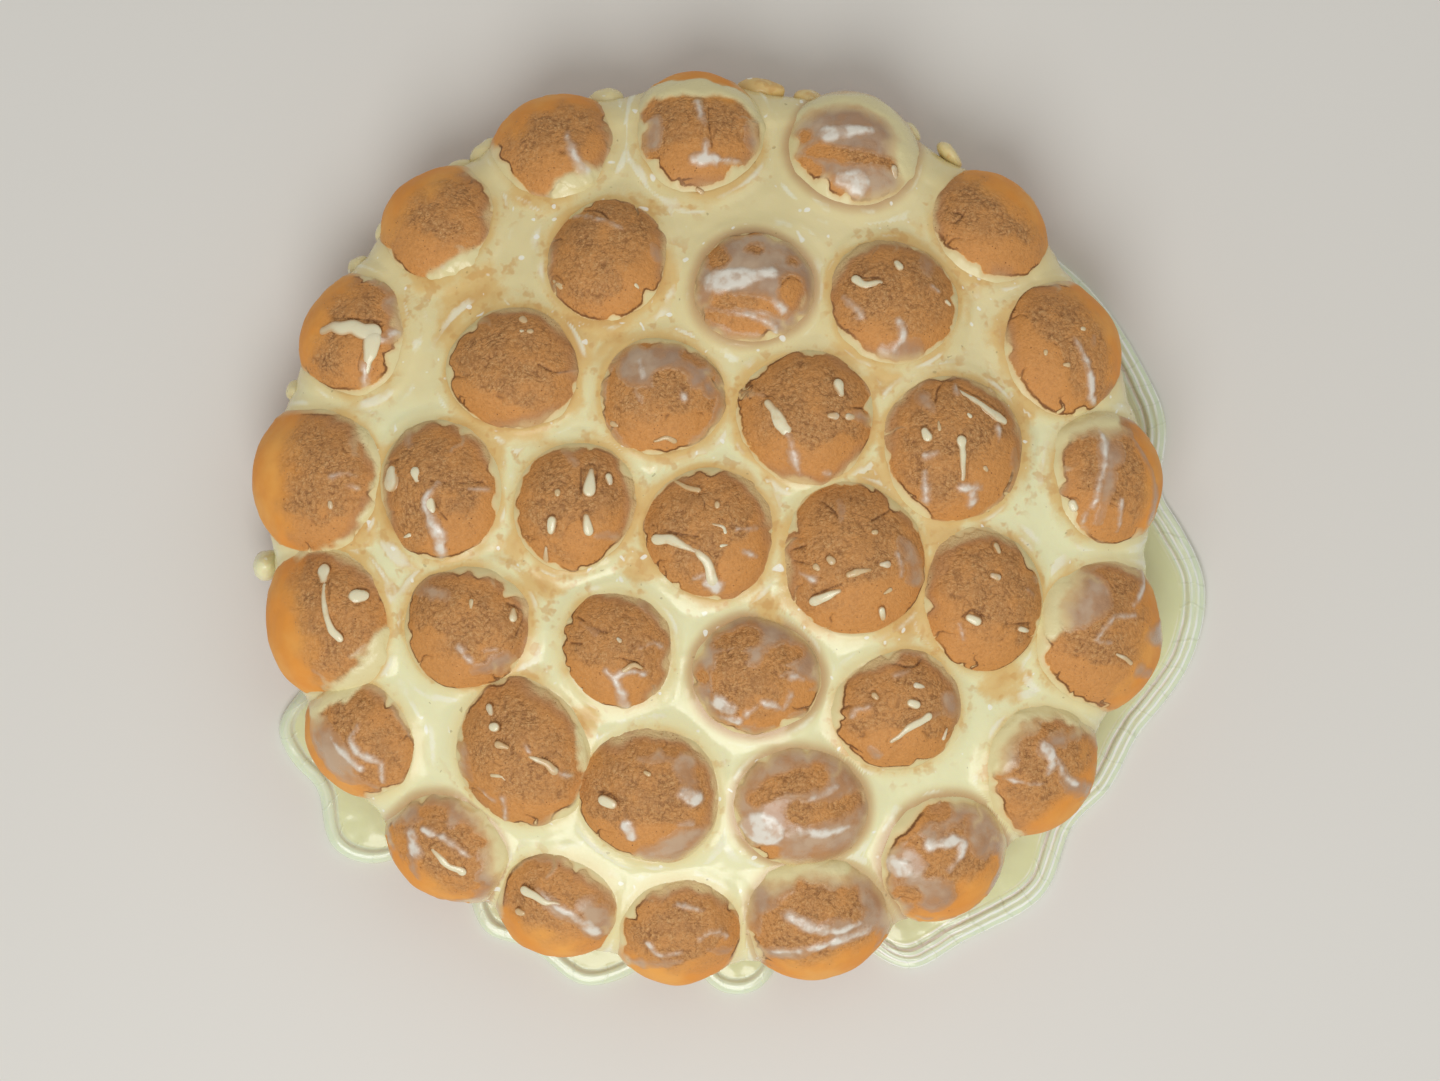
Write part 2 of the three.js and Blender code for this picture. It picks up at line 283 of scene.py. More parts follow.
def domeCoordinates(points):
    # radius of the foot on the dome, angle past the rim, and height above the dome
    radius, z = np.hypot(points[:, 0], points[:, 1]), points[:, 2]
    rim = loafShape["rimRadius"]
    foot = np.minimum(radius, rim)
    for _ in range(12):
        tilt = domeTilt(foot)
        height = (z - loafShape["middleHeight"] + domeDrop(foot)) / np.cos(tilt)
        foot = np.clip(radius - height * np.sin(tilt), 0, rim)
    rimZ = loafShape["middleHeight"] - loafShape["rimDrop"]
    out, up = radius - rim, z - rimZ
    turned = np.arctan2(out, up)
    past = np.where((foot >= rim - 1e-6) & (turned > domeTilt(rim)), turned, 0)
    return foot, past, np.where(past > 0, np.hypot(out, up), height)


creamShape = {
    "height": 13.8,         # above the dome of the bun middles
    "swell": 0.5,
    "waveLengths": (13.0, 11.0, 7.0),
    "rimReach": 16.5,
    "footDraw": 12.0,
    "footPower": 1.6,
    "foot": 8.0,            # height of the sheet's lower edge
    "footWave": 2.2,
    "footWaves": 5,
    "footRagged": 2.5,      # how far its lower edge wanders up and down between them
    "footBand": 16.0,       # how wide the wavy band above the lower edge is
    "hangBand": 14.0,
    "topBand": (8.0, 24.0),  # the swell and the top end this far above the lower edge
    "cells": 338,           # cells of the sheet from edge to edge
    "overlap": 0.7,         # how far the sheet reaches into a bun
    "thickness": 3.0,
    "fillet": 0.55,         # how far the cream climbs a bun
    "filletSize": 1.4,
    "dish": 0.6,            # how much lower it lies in the middle of a valley
    "hang": 6.0,            # how much higher a run over the edge ends beside a bun than in its groove
    "hangSize": 2.4,
    "ring": 0.4,            # height of the rounded ring round each bun
    "ringGap": 2.0,         # how far from the bun it lies
    "ringSize": 1.3,
    "folds": 0.16,          # height of the fine folds that point away from a bun
}


def creamWave(x, y):
    alongX, alongY, across = creamShape["waveLengths"]
    return np.sin(x / alongX + 1) * np.cos(y / alongY) + np.sin((x + y) / across) / 2


def creamLevel(x, y, past):
    rimTilt = float(domeTilt(loafShape["rimRadius"]))
    share = np.clip((past - rimTilt) / (math.pi / 2 - rimTilt), 0, 1)
    height, rimReach = creamShape["height"], creamShape["rimReach"]
    level = height + (rimReach - height) * np.where(past > 0, share, 0)
    return level + creamShape["swell"] * creamWave(x, y) * (1 - share)


# Materials: a node socket that takes part in sums

class Wire:
    def __init__(self, maker, socket):
        self.maker, self.socket = maker, socket

    def math(self, operation, *values):
        return self.maker.add("ShaderNodeMath", {"operation": operation}, dict(enumerate(values)))

    def __add__(self, other):
        return self.math("ADD", self, other)

    def __sub__(self, other):
        return self.math("SUBTRACT", self, other)

    def __rsub__(self, other):
        return self.math("SUBTRACT", other, self)

    def __mul__(self, other):
        return self.math("MULTIPLY", self, other)

    def __truediv__(self, other):
        return self.math("DIVIDE", self, other)

    def __pow__(self, other):
        return self.math("POWER", self, other)

    def __rtruediv__(self, other):
        return self.math("DIVIDE", other, self)

    __radd__, __rmul__ = __add__, __mul__

    def most(self, other):
        return self.math("MAXIMUM", self, other)

    def size(self):
        return self.math("ABSOLUTE", self)

    def sign(self):
        return self.math("SIGN", self)

    def wave(self):
        return self.math("SINE", self)

    def step(self, low, high):
        return self.maker.add("ShaderNodeMapRange", {"interpolation_type": "SMOOTHSTEP"},
                              {"Value": self, "From Min": low, "From Max": high})


class NodeMaker:
    def __init__(self, tree):
        self.tree = tree

    def add(self, kind, settings=None, values=None, out=0):
        node = self.tree.nodes.new(kind)
        for key, setting in (settings or {}).items():
            if key == "stops":
                ramp = node.color_ramp
                while len(ramp.elements) < len(setting):
                    ramp.elements.new(1)
                for element, (place, color) in zip(ramp.elements, setting):
                    element.position, element.color = place, color
            else:
                setattr(node, key, setting)
        for key, value in (values or {}).items():
            if isinstance(value, Wire):
                self.tree.links.new(value.socket, node.inputs[key])
            else:
                node.inputs[key].default_value = value
        return Wire(self, node.outputs[out])

    def attribute(self, name):
        return self.add("ShaderNodeAttribute", {"attribute_name": name}, out="Fac")

    def attributes(self, *names):
        return [self.attribute(name) for name in names]

    def named(self, name, kind="FLOAT_VECTOR"):
        return self.add("GeometryNodeInputNamedAttribute", {"data_type": kind}, {"Name": name})

    def split(self, vector):
        first = self.add("ShaderNodeSeparateXYZ", None, {0: vector})
        node = first.socket.node
        return first, Wire(self, node.outputs[1]), Wire(self, node.outputs[2])

    def place(self):
        return self.add("ShaderNodeTexCoord", out="Object")

    def noise(self, place, scale, detail=3.0, rough=0.55):
        return self.add("ShaderNodeTexNoise", None,
                        {"Vector": place, "Scale": scale, "Detail": detail, "Roughness": rough}, "Fac")

    def blend(self, share, first, second):
        return self.add("ShaderNodeMix", {"data_type": "RGBA"}, {0: share, 6: first, 7: second}, 2)

    def layers(self, color, look, *sheets):
        # lays named colours over one another, each by its share
        for share, name in sheets:
            color = self.blend(share, color, look[name])
        return color

    def bump(self, height, strength, distance):
        values = {"Height": height, "Strength": strength, "Distance": distance}
        return self.add("ShaderNodeBump", None, values)


def shade(*color):
    # a colour given as it looks on a screen, 0 to 255
    parts = [value / 255 for value in color]
    return tuple(part / 12.92 if part <= 0.04 else ((part + 0.055) / 1.055) ** 2.4 for part in parts) + (1.0,)


def newMaterial(name, fixed):
    material = bpy.data.materials.new(name)
    material.use_nodes = True
    tree = material.node_tree
    shader = tree.nodes["Principled BSDF"]
    for socket, value in fixed.items():
        shader.inputs[socket].default_value = value
    return material, NodeMaker(tree), shader


def newCream(name, coat, coatRoughness, deep, radius):
    # the base of all wet cream: a thin gloss over a milky inside
    return newMaterial(name, {
        "IOR": 1.45, "Coat Weight": coat, "Coat Roughness": coatRoughness,
        "Subsurface Weight": deep, "Subsurface Radius": radius, "Subsurface Scale": 1.0})


def feed(maker, shader, wires):
    for name, wire in wires.items():
        maker.tree.links.new(wire.socket, shader.inputs[name])


crustLook = {
    "dough": shade(230, 150, 58),
    "doughDeep": shade(208, 120, 28),
    "doughPale": shade(236, 168, 80),
    "cinnamon": shade(194, 138, 80),
    "cinnamonWarm": shade(214, 148, 78),
    "cinnamonDark": shade(126, 78, 34),
    "cinnamonPale": shade(224, 180, 122),
    # crack: painted shade in the cracks, and a painted shadow line along the crust's crisp edge and behind
    # wide drizzle
    "crack": shade(96, 54, 20),
    "film": shade(172, 142, 116),
    "filmPale": shade(208, 184, 154),
    "filmThin": shade(184, 134, 90),
    "creamThin": shade(224, 198, 144),
    "whiteAndGlint": shade(232, 226, 212),
    "cream": shade(229, 217, 164),
    "base": shade(120, 66, 26),
}


def makeCrustMaterial():
    look = crustLook
    material, maker, shader = newMaterial("bakedCrust", {"IOR": 1.45, "Coat Roughness": 0.12})
    place = maker.place()
    fine = maker.noise(place, 900.0, 4.0, 0.7)
    grit = maker.noise(place, 2400.0, 2.0, 0.6)
    broad = maker.noise(place, 70.0, 3.0)
    mottle = maker.noise(place, 210.0, 3.0)
    patchy = mottle.step(0.35, 0.6)
    wrinkle = (maker.noise(place, 620.0, 2.0, 0.6) - 0.5).size()      # near 0 along winding creases
    film = maker.attribute("film") + (fine - 0.5) * 0.6
    thick = maker.attribute("thick") + (fine - 0.5) * 0.5
    crustEdge = maker.attribute("crustEdge") + (fine - 0.5) * 0.8
    low, sandy, golden, veil, creamy = maker.attributes("lowSide", "sandy", "golden", "veil", "creamy")
    # painted shade in the cracks and behind wide drizzle (crack), and a painted shadow line along the crust's
    # edge where it is crisp (edge)
    crack = maker.attribute("crackGap").step(0.6, 0.15)
    edge = (crustEdge - 0.1).size().step(0.5, 0.1) * maker.attribute("crisp").step(0.15, 0.75)

    # dough, and cinnamon sugar over it up to the crust's edge
    dough = maker.layers(
        maker.blend(broad.step(0.35, 0.7), look["dough"], look["doughPale"]), look,
        # darker towards the bottom: the deeper bake of the base, with painted shade on the lower sides
        (low.step(0.1, 1.0) * 0.8, "doughDeep"),
        ((low - 1.0).step(0.1, 0.9), "base"))
    shift = maker.add("ShaderNodeCombineXYZ", None, {0: wrinkle * 0.004, 1: mottle * 0.006})
    bent = maker.add("ShaderNodeVectorMath", {"operation": "ADD"}, {0: place, 1: shift})
    crumbs = maker.add("ShaderNodeTexVoronoi", None,
                       {"Vector": bent, "Scale": 1000.0, "Randomness": 1.0}, "Distance")
    crumbly = 0.15 + sandy * mottle.step(0.32, 0.52) * 0.85
    speckled = 0.12 + sandy * 0.34
    # sandy crust is darker cinnamon, the rest warmer: sandy grain, with painted shade towards the back of
    # each bun
    grains = maker.layers(
        maker.blend(sandy, look["cinnamonWarm"], look["cinnamon"]), look,
        (mottle.step(0.5, 0.3) * (0.07 + sandy * 0.16), "cinnamonDark"),
        # darker in the creases and pits and paler on the crumbs and grit: painted shade and painted highlight
        # over the grain's own speckle
        (wrinkle.step(0.045, 0.0) * (0.1 + sandy * 0.16), "cinnamonDark"),
        (fine.step(0.46, 0.36) * speckled, "cinnamonDark"),
        (fine.step(0.54, 0.66) * speckled, "cinnamonPale"),
        (crumbs.step(0.5, 0.8) * crumbly * 0.6, "cinnamonDark"),
        (crumbs.step(0.34, 0.12) * crumbly * 0.5, "cinnamonPale"),
        (grit.step(0.55, 0.7) * (0.14 + sandy * 0.25), "cinnamonPale"))
    covered = crustEdge.step(-0.15, 0.15) * (1 - golden)
    crust = maker.blend(covered, dough, grains)
    # lays the painted shade and shadow lines onto the crust
    crust = maker.blend((crack * covered * 0.7).most(edge * 0.8), crust, look["crack"])

    # milky film, whiter where it is thick, with painted glints in the white, and cream outside the crust's
    # edge
    filmed = (film.step(-0.5, 0.8) * 0.56 + film.step(0.3, 2.4) * 0.4) * (0.78 + 0.34 * patchy)
    whiteGlintShare = thick.step(-0.2, 1.2) * (0.45 + 0.5 * patchy)
    milk = maker.layers(
        maker.blend(film.step(0.1, 2.4) * veil, look["filmThin"], look["film"]), look,
        ((mottle * 0.4 + broad * 0.6).step(0.42, 0.62) * film.step(0.2, 1.4) * 0.55, "filmPale"),
        (crustEdge.step(2.2, -0.6) * 0.75, "creamThin"),
        (creamy.step(-5.0, -0.5) * 0.9, "creamThin"),
        (whiteGlintShare, "whiteAndGlint"))
    outside = 0 - crustEdge
    ring = maker.blend(outside.step(0.1, 1.2), look["creamThin"], look["cream"])
    ringed = outside.step(-0.05, 0.3) * (1 - golden) * (1 - maker.attribute("aboveCream").step(3.2, 4.4))
    mist = maker.attribute("mist") + (fine - 0.5) * 0.12
    misty = maker.blend(mist.step(0.45, 1.0), look["filmThin"], look["creamThin"])
    color = maker.blend(mist.step(0.02, 0.8) * 0.92, crust, misty)
    color = maker.blend(filmed.most(whiteGlintShare), color, milk)
    # painted highlight along the film's edge
    lit = (film - 0.35).size().step(0.45, 0.05) * film.step(0.0, 0.2) * veil * fine.step(0.35, 0.6)
    color = maker.blend(lit * covered * 0.3, color, look["filmPale"])
    color = maker.blend(ringed * 0.95, color, ring)
    color = maker.blend((creamy + (mottle - 0.5) * 1.6).step(-1.4, 0.7), color, look["cream"])

    sandHeight = fine * 0.5 + grit * 0.2 + wrinkle * 1.0 - crumbs * crumbly * 0.9
    dry = (1 - filmed) * (covered * 0.85 + 0.15)
    feed(maker, shader, {"Base Color": color, "Roughness": 0.62 - filmed * 0.36, "Coat Weight": filmed * 0.35,
                         "Normal": maker.bump(sandHeight * dry, 0.5, 0.001)})
    return material


creamLook = {
    "deep": shade(238, 235, 188),
    "mid": shade(235, 224, 170),
    "shallow": shade(222, 188, 120),
    "soaked": shade(226, 190, 120),
    "tan": shade(210, 158, 84),
    # light: painted highlight, pale streaks along the folds near each bun
    "light": shade(244, 242, 216),
    "glint": shade(252, 252, 240),
    # edge: painted contact shade in the cream where it meets a clean bun
    "edge": shade(160, 108, 56),
    "filmed": shade(196, 156, 108),
    # painted shade that darkens the cream towards the back
    "baked": shade(232, 212, 154),
    "speck": shade(120, 96, 50),
}


def makeCreamMaterial():
    look = creamLook
    material, maker, shader = newCream("valleyCream", 0.3, 0.1, 0.12, (0.004, 0.003, 0.0015))
    place = maker.place()
    broad = maker.noise(place, 60.0, 3.0)
    fine = maker.noise(place, 420.0, 3.0)
    depth, soaked, milky, streak = maker.attributes("depth", "soaked", "milky", "streak")
    # painted shade towards the back
    baked = (maker.attribute("baked") + (broad - 0.5) * 1.2).step(0.1, 0.9)
    shallow = 1 - (depth + (fine - 0.5) * 0.8).step(0.1, 1.5)
    spread = soaked + streak * 0.28 + (fine - 0.5) * 0.5 + (broad - 0.5) * 0.5
    patch = spread.step(0.25, 0.75)
    flecks = maker.noise(place, 260.0, 2.0).step(0.55, 0.66) * (soaked + broad * 0.5).step(0.3, 0.62)
    dots = maker.noise(place, 420.0, 0.0).step(0.79, 0.84) + maker.noise(place, 230.0, 0.0).step(0.82, 0.86)
    speck = maker.noise(place, 700.0, 0.0).step(0.84, 0.86)
    color = maker.layers(
        maker.blend((depth + (broad - 0.5) * 2.0).step(0.3, 3.4), look["mid"], look["deep"]), look,
        (baked * 0.7, "baked"),
        (shallow * (1 - milky) * (0.2 + soaked.step(0.15, 0.7) * 0.8), "shallow"),
        ((1 - depth.step(-0.2, 2.6)) * milky, "filmed"),
        (patch * 0.9, "soaked"),
        (spread.step(0.75, 1.25) * 0.55, "tan"),
        (flecks * depth.step(-0.2, 0.8) * 0.5, "tan"),
        # painted highlight streaks along the folds near each bun
        ((streak + (fine - 0.5) * 0.6).step(0.25, 0.7) * depth.step(0.7, 1.7) * 0.75, "light"),
        # painted contact shade where the cream meets a clean bun
        ((1 - depth.step(0.0, 0.4)) * (1 - milky) * 0.15, "edge"),
        (dots * depth.step(0.0, 0.6) * 0.75, "glint"),
        (speck * 0.35, "speck"))
    feed(maker, shader, {"Base Color": color, "Roughness": 0.26 + patch * 0.2,
                         "Normal": maker.bump(broad * 0.6 + fine * 0.15, 0.25, 0.0015)})
    return material


poolLook = {
    "body": shade(220, 228, 182),
    "thin": shade(226, 232, 182),
    "ridge": shade(224, 236, 208),
    # streak: painted reflection along the rim
    "streak": shade(250, 253, 242),
    "line": shade(188, 196, 160),
    "streakStep": 1.9,      # mm between the painted reflection streaks along the rim
    "lineStep": 8.0,        # mm between the lines across it
}


def makePoolMaterial():
    look = poolLook
    material, maker, shader = newCream("pooledCream", 0.6, 0.05, 0.15, (0.004, 0.004, 0.002))
    place = maker.place()
    broad = maker.noise(place, 55.0, 3.0)
    fine = maker.noise(place, 260.0, 2.0)
    rim, away, along, folded = maker.attributes("rim", "fromEdge", "alongEdge", "folded")
    streakTurn = (away + (broad - 0.5) * 2.0) * (2 * math.pi / look["streakStep"])
    lineTurn = (along + (fine - 0.5) * 1.6 + (broad - 0.5) * 16.0) * (2 * math.pi / look["lineStep"])
    # painted reflection streaks along the folded rim, which also bump the surface a little
    streaks = streakTurn.wave().step(0.1, 0.85) * folded
    lines = lineTurn.wave().step(0.95, 1.0)
    color = maker.layers(
        maker.blend((rim + (broad - 0.5) * 0.8).step(0.1, 0.9), look["thin"], look["body"]), look,
        ((rim + (broad - 0.5) * 0.5).step(0.5, 1.0) * 0.85, "ridge"),
        (streaks * rim.step(0.0, 0.5) * broad.step(0.2, 0.48), "streak"),
        (lines * rim * folded * 0.22, "line"))
    feed(maker, shader, {"Base Color": color, "Roughness": 0.14 + broad * 0.1,
                         "Normal": maker.bump(broad + streaks * rim * 0.3 - lines * rim * 0.2, 0.25, 0.002)})
    return material


drizzleLook = {
    "cream": shade(236, 226, 190),
    "tan": shade(216, 182, 130),
    "lilac": shade(214, 202, 184),
    "edge": shade(196, 148, 92),
}


def makeDrizzleMaterial():
    look = drizzleLook
    material, maker, shader = newCream("drizzleCream", 0.5, 0.08, 0.12, (0.003, 0.002, 0.0015))
    broad = maker.noise(maker.place(), 160.0, 3.0)
    tone, rise = maker.attributes("tone", "rise")
    color = maker.layers(
        maker.blend(broad.step(0.4, 0.62) * tone.step(0.2, 0.6), look["cream"], look["lilac"]), look,
        ((tone + (broad - 0.5) * 2.2).step(0.4, 0.9) * 0.9, "tan"),
        (rise.step(0.85, 0.25) * 0.8, "edge"))
    feed(maker, shader, {"Base Color": color, "Roughness": 0.24 + broad * 0.12,
                         "Normal": maker.bump(broad, 0.15, 0.001)})
    return material


grainLook = {
    "dark": shade(146, 94, 48),
    "pale": shade(210, 162, 106),
}


def makeGrainMaterial():
    material, maker, shader = newMaterial("cinnamonGrain", {"IOR": 1.5})
    tone = maker.noise(maker.place(), 260.0, 1.0)
    color = maker.blend(tone.step(0.35, 0.65), grainLook["dark"], grainLook["pale"])
    feed(maker, shader, {"Base Color": color, "Roughness": 0.5 + tone * 0.2})
    return material


print("materials")
crustMaterial = makeCrustMaterial()
creamMaterial = makeCreamMaterial()
poolMaterial = makePoolMaterial()
drizzleMaterial = makeDrizzleMaterial()
grainMaterial = makeGrainMaterial()


# Meshes from arrays of points in mm

def setAttributes(mesh, attributes):
    for name, values in attributes.items():
        values = np.asarray(values, np.float32)
        kind, key = ("FLOAT_VECTOR", "vector") if values.ndim == 2 else ("FLOAT", "value")
        layer = mesh.attributes.get(name) or mesh.attributes.new(name, kind, "POINT")
        layer.data.foreach_set(key, values.ravel())


def joined(parts):
    # one dictionary of long arrays out of many dictionaries of short ones
    return {key: np.concatenate([part[key] for part in parts]) for key in parts[0]}


def meshObject(name, points, faceGroups, attributes=None):
    mesh = bpy.data.meshes.new(name)
    groups = [np.asarray(faces, np.int32) for faces in faceGroups if len(faces)]
    corners = np.concatenate([faces.ravel() for faces in groups]) if groups else np.zeros(0, np.int32)
    counts = [np.full(len(faces), faces.shape[1], np.int32) for faces in groups]
    sizes = np.concatenate(counts) if groups else []
    mesh.vertices.add(len(points))
    mesh.vertices.foreach_set("co", (np.asarray(points) * mm).astype(np.float32).ravel())
    if groups:
        mesh.loops.add(len(corners))
        mesh.loops.foreach_set("vertex_index", corners)
        mesh.polygons.add(len(sizes))
        mesh.polygons.foreach_set("loop_start", (np.cumsum(sizes) - sizes).astype(np.int32))
        mesh.update(calc_edges=True)
    setAttributes(mesh, attributes or {})
    piece = bpy.data.objects.new(name, mesh)
    bpy.context.scene.collection.objects.link(piece)
    return piece


def readValues(items, key, width=1, kind=np.float32):
    values = np.empty(len(items) * width, kind)
    items.foreach_get(key, values)
    return values.reshape(-1, width) if width > 1 else values


def meshPoints(mesh):
    return readValues(mesh.vertices, "co", 3).astype(float) / mm


def meshNormals(mesh):
    return readValues(mesh.vertex_normals, "vector", 3).astype(float)


def putPoints(mesh, points):
    mesh.vertices.foreach_set("co", (points * mm).astype(np.float32).ravel())
    mesh.update()


def finishPiece(piece, material, slotName, *nodes):
    piece.data.materials.clear()
    piece.data.materials.append(material)
    piece.data.shade_smooth()
    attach(piece, "root")
    if nodes:
        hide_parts(*nodes)
    return piece


def gridFaces(rows, columns, closed=False):
    across = columns if closed else columns - 1
    i, j = np.meshgrid(np.arange(rows - 1), np.arange(across), indexing="ij")
    k = (j + 1) % columns
    below, above = i * columns, (i + 1) * columns
    return np.stack([below + j, below + k, above + k, above + j], -1).reshape(-1, 4)


def closedRings(rings, bottom, top):
    # points, quads and end fans of rings that are stacked from a bottom point to a top point
    sides = len(rings[0])
    j = np.arange(sides)
    k = (j + 1) % sides
    last = 1 + (len(rings) - 1) * sides
    fans = np.vstack([np.column_stack([np.zeros(sides, int), k + 1, j + 1]),
                      np.column_stack([np.full(sides, last + sides), last + j, last + k])])
    return np.vstack([[bottom], *rings, [top]]), gridFaces(len(rings), sides, closed=True) + 1, fans


def diskGrid(cells):
    # a square grid bent into a disk: share of the radius and bearing of each point
    line = np.linspace(-1, 1, cells + 1)
    u, v = np.meshgrid(line, line)
    wide = np.abs(u) > np.abs(v)
    radius = np.where(wide, u, v)
    ratio = np.where(wide, v, u) / np.where(radius == 0, 1, radius)
    bearing = np.where(wide, 0, math.pi / 2) + np.where(wide, 1, -1) * math.pi / 4 * ratio
    bearing = np.where(radius < 0, bearing + math.pi, bearing)
    return np.abs(radius).ravel(), bearing.ravel()


def thickened(points, faces, under, attributes):
    # closes a sheet of quads with a copy of itself below and a wall round its edges
    used = np.unique(faces)
    renumbered = np.zeros(len(points), int)
    renumbered[used] = np.arange(len(used))
    faces, points, under = renumbered[faces], points[used], under[used]
    edges = np.concatenate([faces[:, [i, (i + 1) % 4]] for i in range(4)])
    keys = edges[:, 0] * len(points) + edges[:, 1]
    backwards = edges[:, 1] * len(points) + edges[:, 0]
    rim = edges[~np.isin(keys, backwards)]
    n = len(points)
    wall = np.column_stack([rim[:, 1], rim[:, 0], rim[:, 0] + n, rim[:, 1] + n])
    both = {name: np.concatenate([values[used]] * 2) for name, values in attributes.items()}
    return np.vstack([points, under]), [np.vstack([faces, faces[:, ::-1] + n, wall])], both


# Geometry Nodes helpers

def newNodeTree(name, inputs):
    tree = bpy.data.node_groups.new(name, "GeometryNodeTree")
    tree.interface.new_socket("Geometry", in_out="INPUT", socket_type="NodeSocketGeometry")
    for label, kind in inputs.items():
        tree.interface.new_socket(label, in_out="INPUT", socket_type="NodeSocket" + kind)
    tree.interface.new_socket("Geometry", in_out="OUTPUT", socket_type="NodeSocketGeometry")
    maker = NodeMaker(tree)
    entry = tree.nodes.new("NodeGroupInput")
    return maker, {socket.name: Wire(maker, socket) for socket in entry.outputs if socket.name}


def closeTree(maker, geometry, material):
    realized = maker.add("GeometryNodeRealizeInstances", None, {"Geometry": geometry})
    painted = maker.add("GeometryNodeSetMaterial", None, {"Geometry": realized, "Material": material})
    end = maker.tree.nodes.new("NodeGroupOutput")
    maker.tree.links.new(painted.socket, end.inputs[0])


def applyTree(piece, tree, values):
    modifier = piece.modifiers.new("form", "NODES")
    modifier.node_group = tree
    for item in tree.interface.items_tree:
        if item.item_type == "SOCKET" and item.in_out == "INPUT" and item.name in values:
            modifier[item.identifier] = values[item.name]
    evaluated = piece.evaluated_get(bpy.context.evaluated_depsgraph_get())
    mesh = bpy.data.meshes.new_from_object(evaluated)
    piece.modifiers.clear()
    piece.data = mesh
    return piece


# Buns: one unit ball, bent by the tree into every bun of a row

def makeUnitBall():
    # a fine grid over the top, rings down the side and a fan below
    cells, capAngle = bunShape["gridCells"], math.radians(bunShape["gridAngle"])
    share, bearing = diskGrid(cells)
    index = np.arange((cells + 1) ** 2).reshape(cells + 1, cells + 1)
    loop = np.concatenate([index[0, :-1], index[:-1, -1], index[-1, :0:-1], index[:0:-1, 0]])
    rings = [polar(np.sin(share * capAngle), bearing, np.cos(share * capAngle))]
    faces = [gridFaces(cells + 1, cells + 1)]
    previous, count = loop, len(rings[0])
    following = np.roll(np.arange(len(loop)), -1)
    for angle in np.radians(bunShape["skirtAngles"]):
        rings.append(polar(np.sin(angle), bearing[loop], np.cos(angle)))
        ring = count + np.arange(len(loop))
        faces.append(np.column_stack([ring, ring[following], previous[following], previous]))
        previous, count = ring, count + len(loop)
    rings.append(np.array([[0, 0, -1.0]]))
    fan = np.column_stack([np.full(len(loop), count), previous[following], previous])
    return meshObject("unitBall", np.vstack(rings) / mm, [np.vstack(faces), fan])


def makeBunTree():
    maker, wires = newNodeTree("bunForm", {
        "Unit Ball": "Object", "Crown Power": "Float", "Foot Power": "Float", "Foot Depth": "Float",
        "Foot Lift": "Float", "Two Lobed": "Float", "Three Lobed": "Float", "Crust": "Material"})
    ball = maker.add("GeometryNodeObjectInfo", None, {"Object": wires["Unit Ball"]}, "Geometry")
    ball = maker.add("GeometryNodeStoreNamedAttribute", {"data_type": "FLOAT_VECTOR", "domain": "POINT"},
                     {"Geometry": ball, "Name": "unit", "Value": maker.add("GeometryNodeInputPosition")})
    placed = maker.add("GeometryNodeInstanceOnPoints", None, {"Points": wires["Geometry"], "Instance": ball})
    balls = maker.add("GeometryNodeRealizeInstances", None, {"Geometry": placed})
    x, y, z = maker.split(maker.named("unit"))
    halfX, halfY, crown = maker.split(maker.named("halves"))
    twoPhase, threePhase, _ = maker.split(maker.named("phases"))
    up = z.math("GREATER_THAN", z, 0.0)
    power = wires["Foot Power"] + up * (wires["Crown Power"] - wires["Foot Power"])
    height = wires["Foot Depth"] + up * (crown - wires["Foot Depth"])
    across = ((x * x + y * y) ** 0.5).most(1e-6)
    bearing = y.math("ARCTAN2", y, x)
    wobble = (1 + wires["Two Lobed"] * y.math("COSINE", bearing * 2 + twoPhase)
              + wires["Three Lobed"] * y.math("COSINE", bearing * 3 + threePhase))
    spread = across ** (2 / power - 1) * wobble
    rise = z.sign() * z.size() ** (2 / power) * height
    place = maker.named("middle")
    for axis, reach in (("axisX", x * spread * halfX), ("axisY", y * spread * halfY), ("axisZ", rise)):
        step = maker.add("ShaderNodeVectorMath", {"operation": "SCALE"},
                         {0: maker.named(axis), "Scale": reach})
        place = maker.add("ShaderNodeVectorMath", {"operation": "ADD"}, {0: place, 1: step})
    placeX, placeY, placeZ = maker.split(place)
    raised = placeZ.most(wires["Foot Lift"])
    lifted = maker.add("ShaderNodeCombineXYZ", None, {0: placeX, 1: placeY, 2: raised})
    shaped = maker.add("GeometryNodeSetPosition", None, {"Geometry": balls, "Position": lifted})
    closeTree(maker, shaped, wires["Crust"])
    return maker.tree
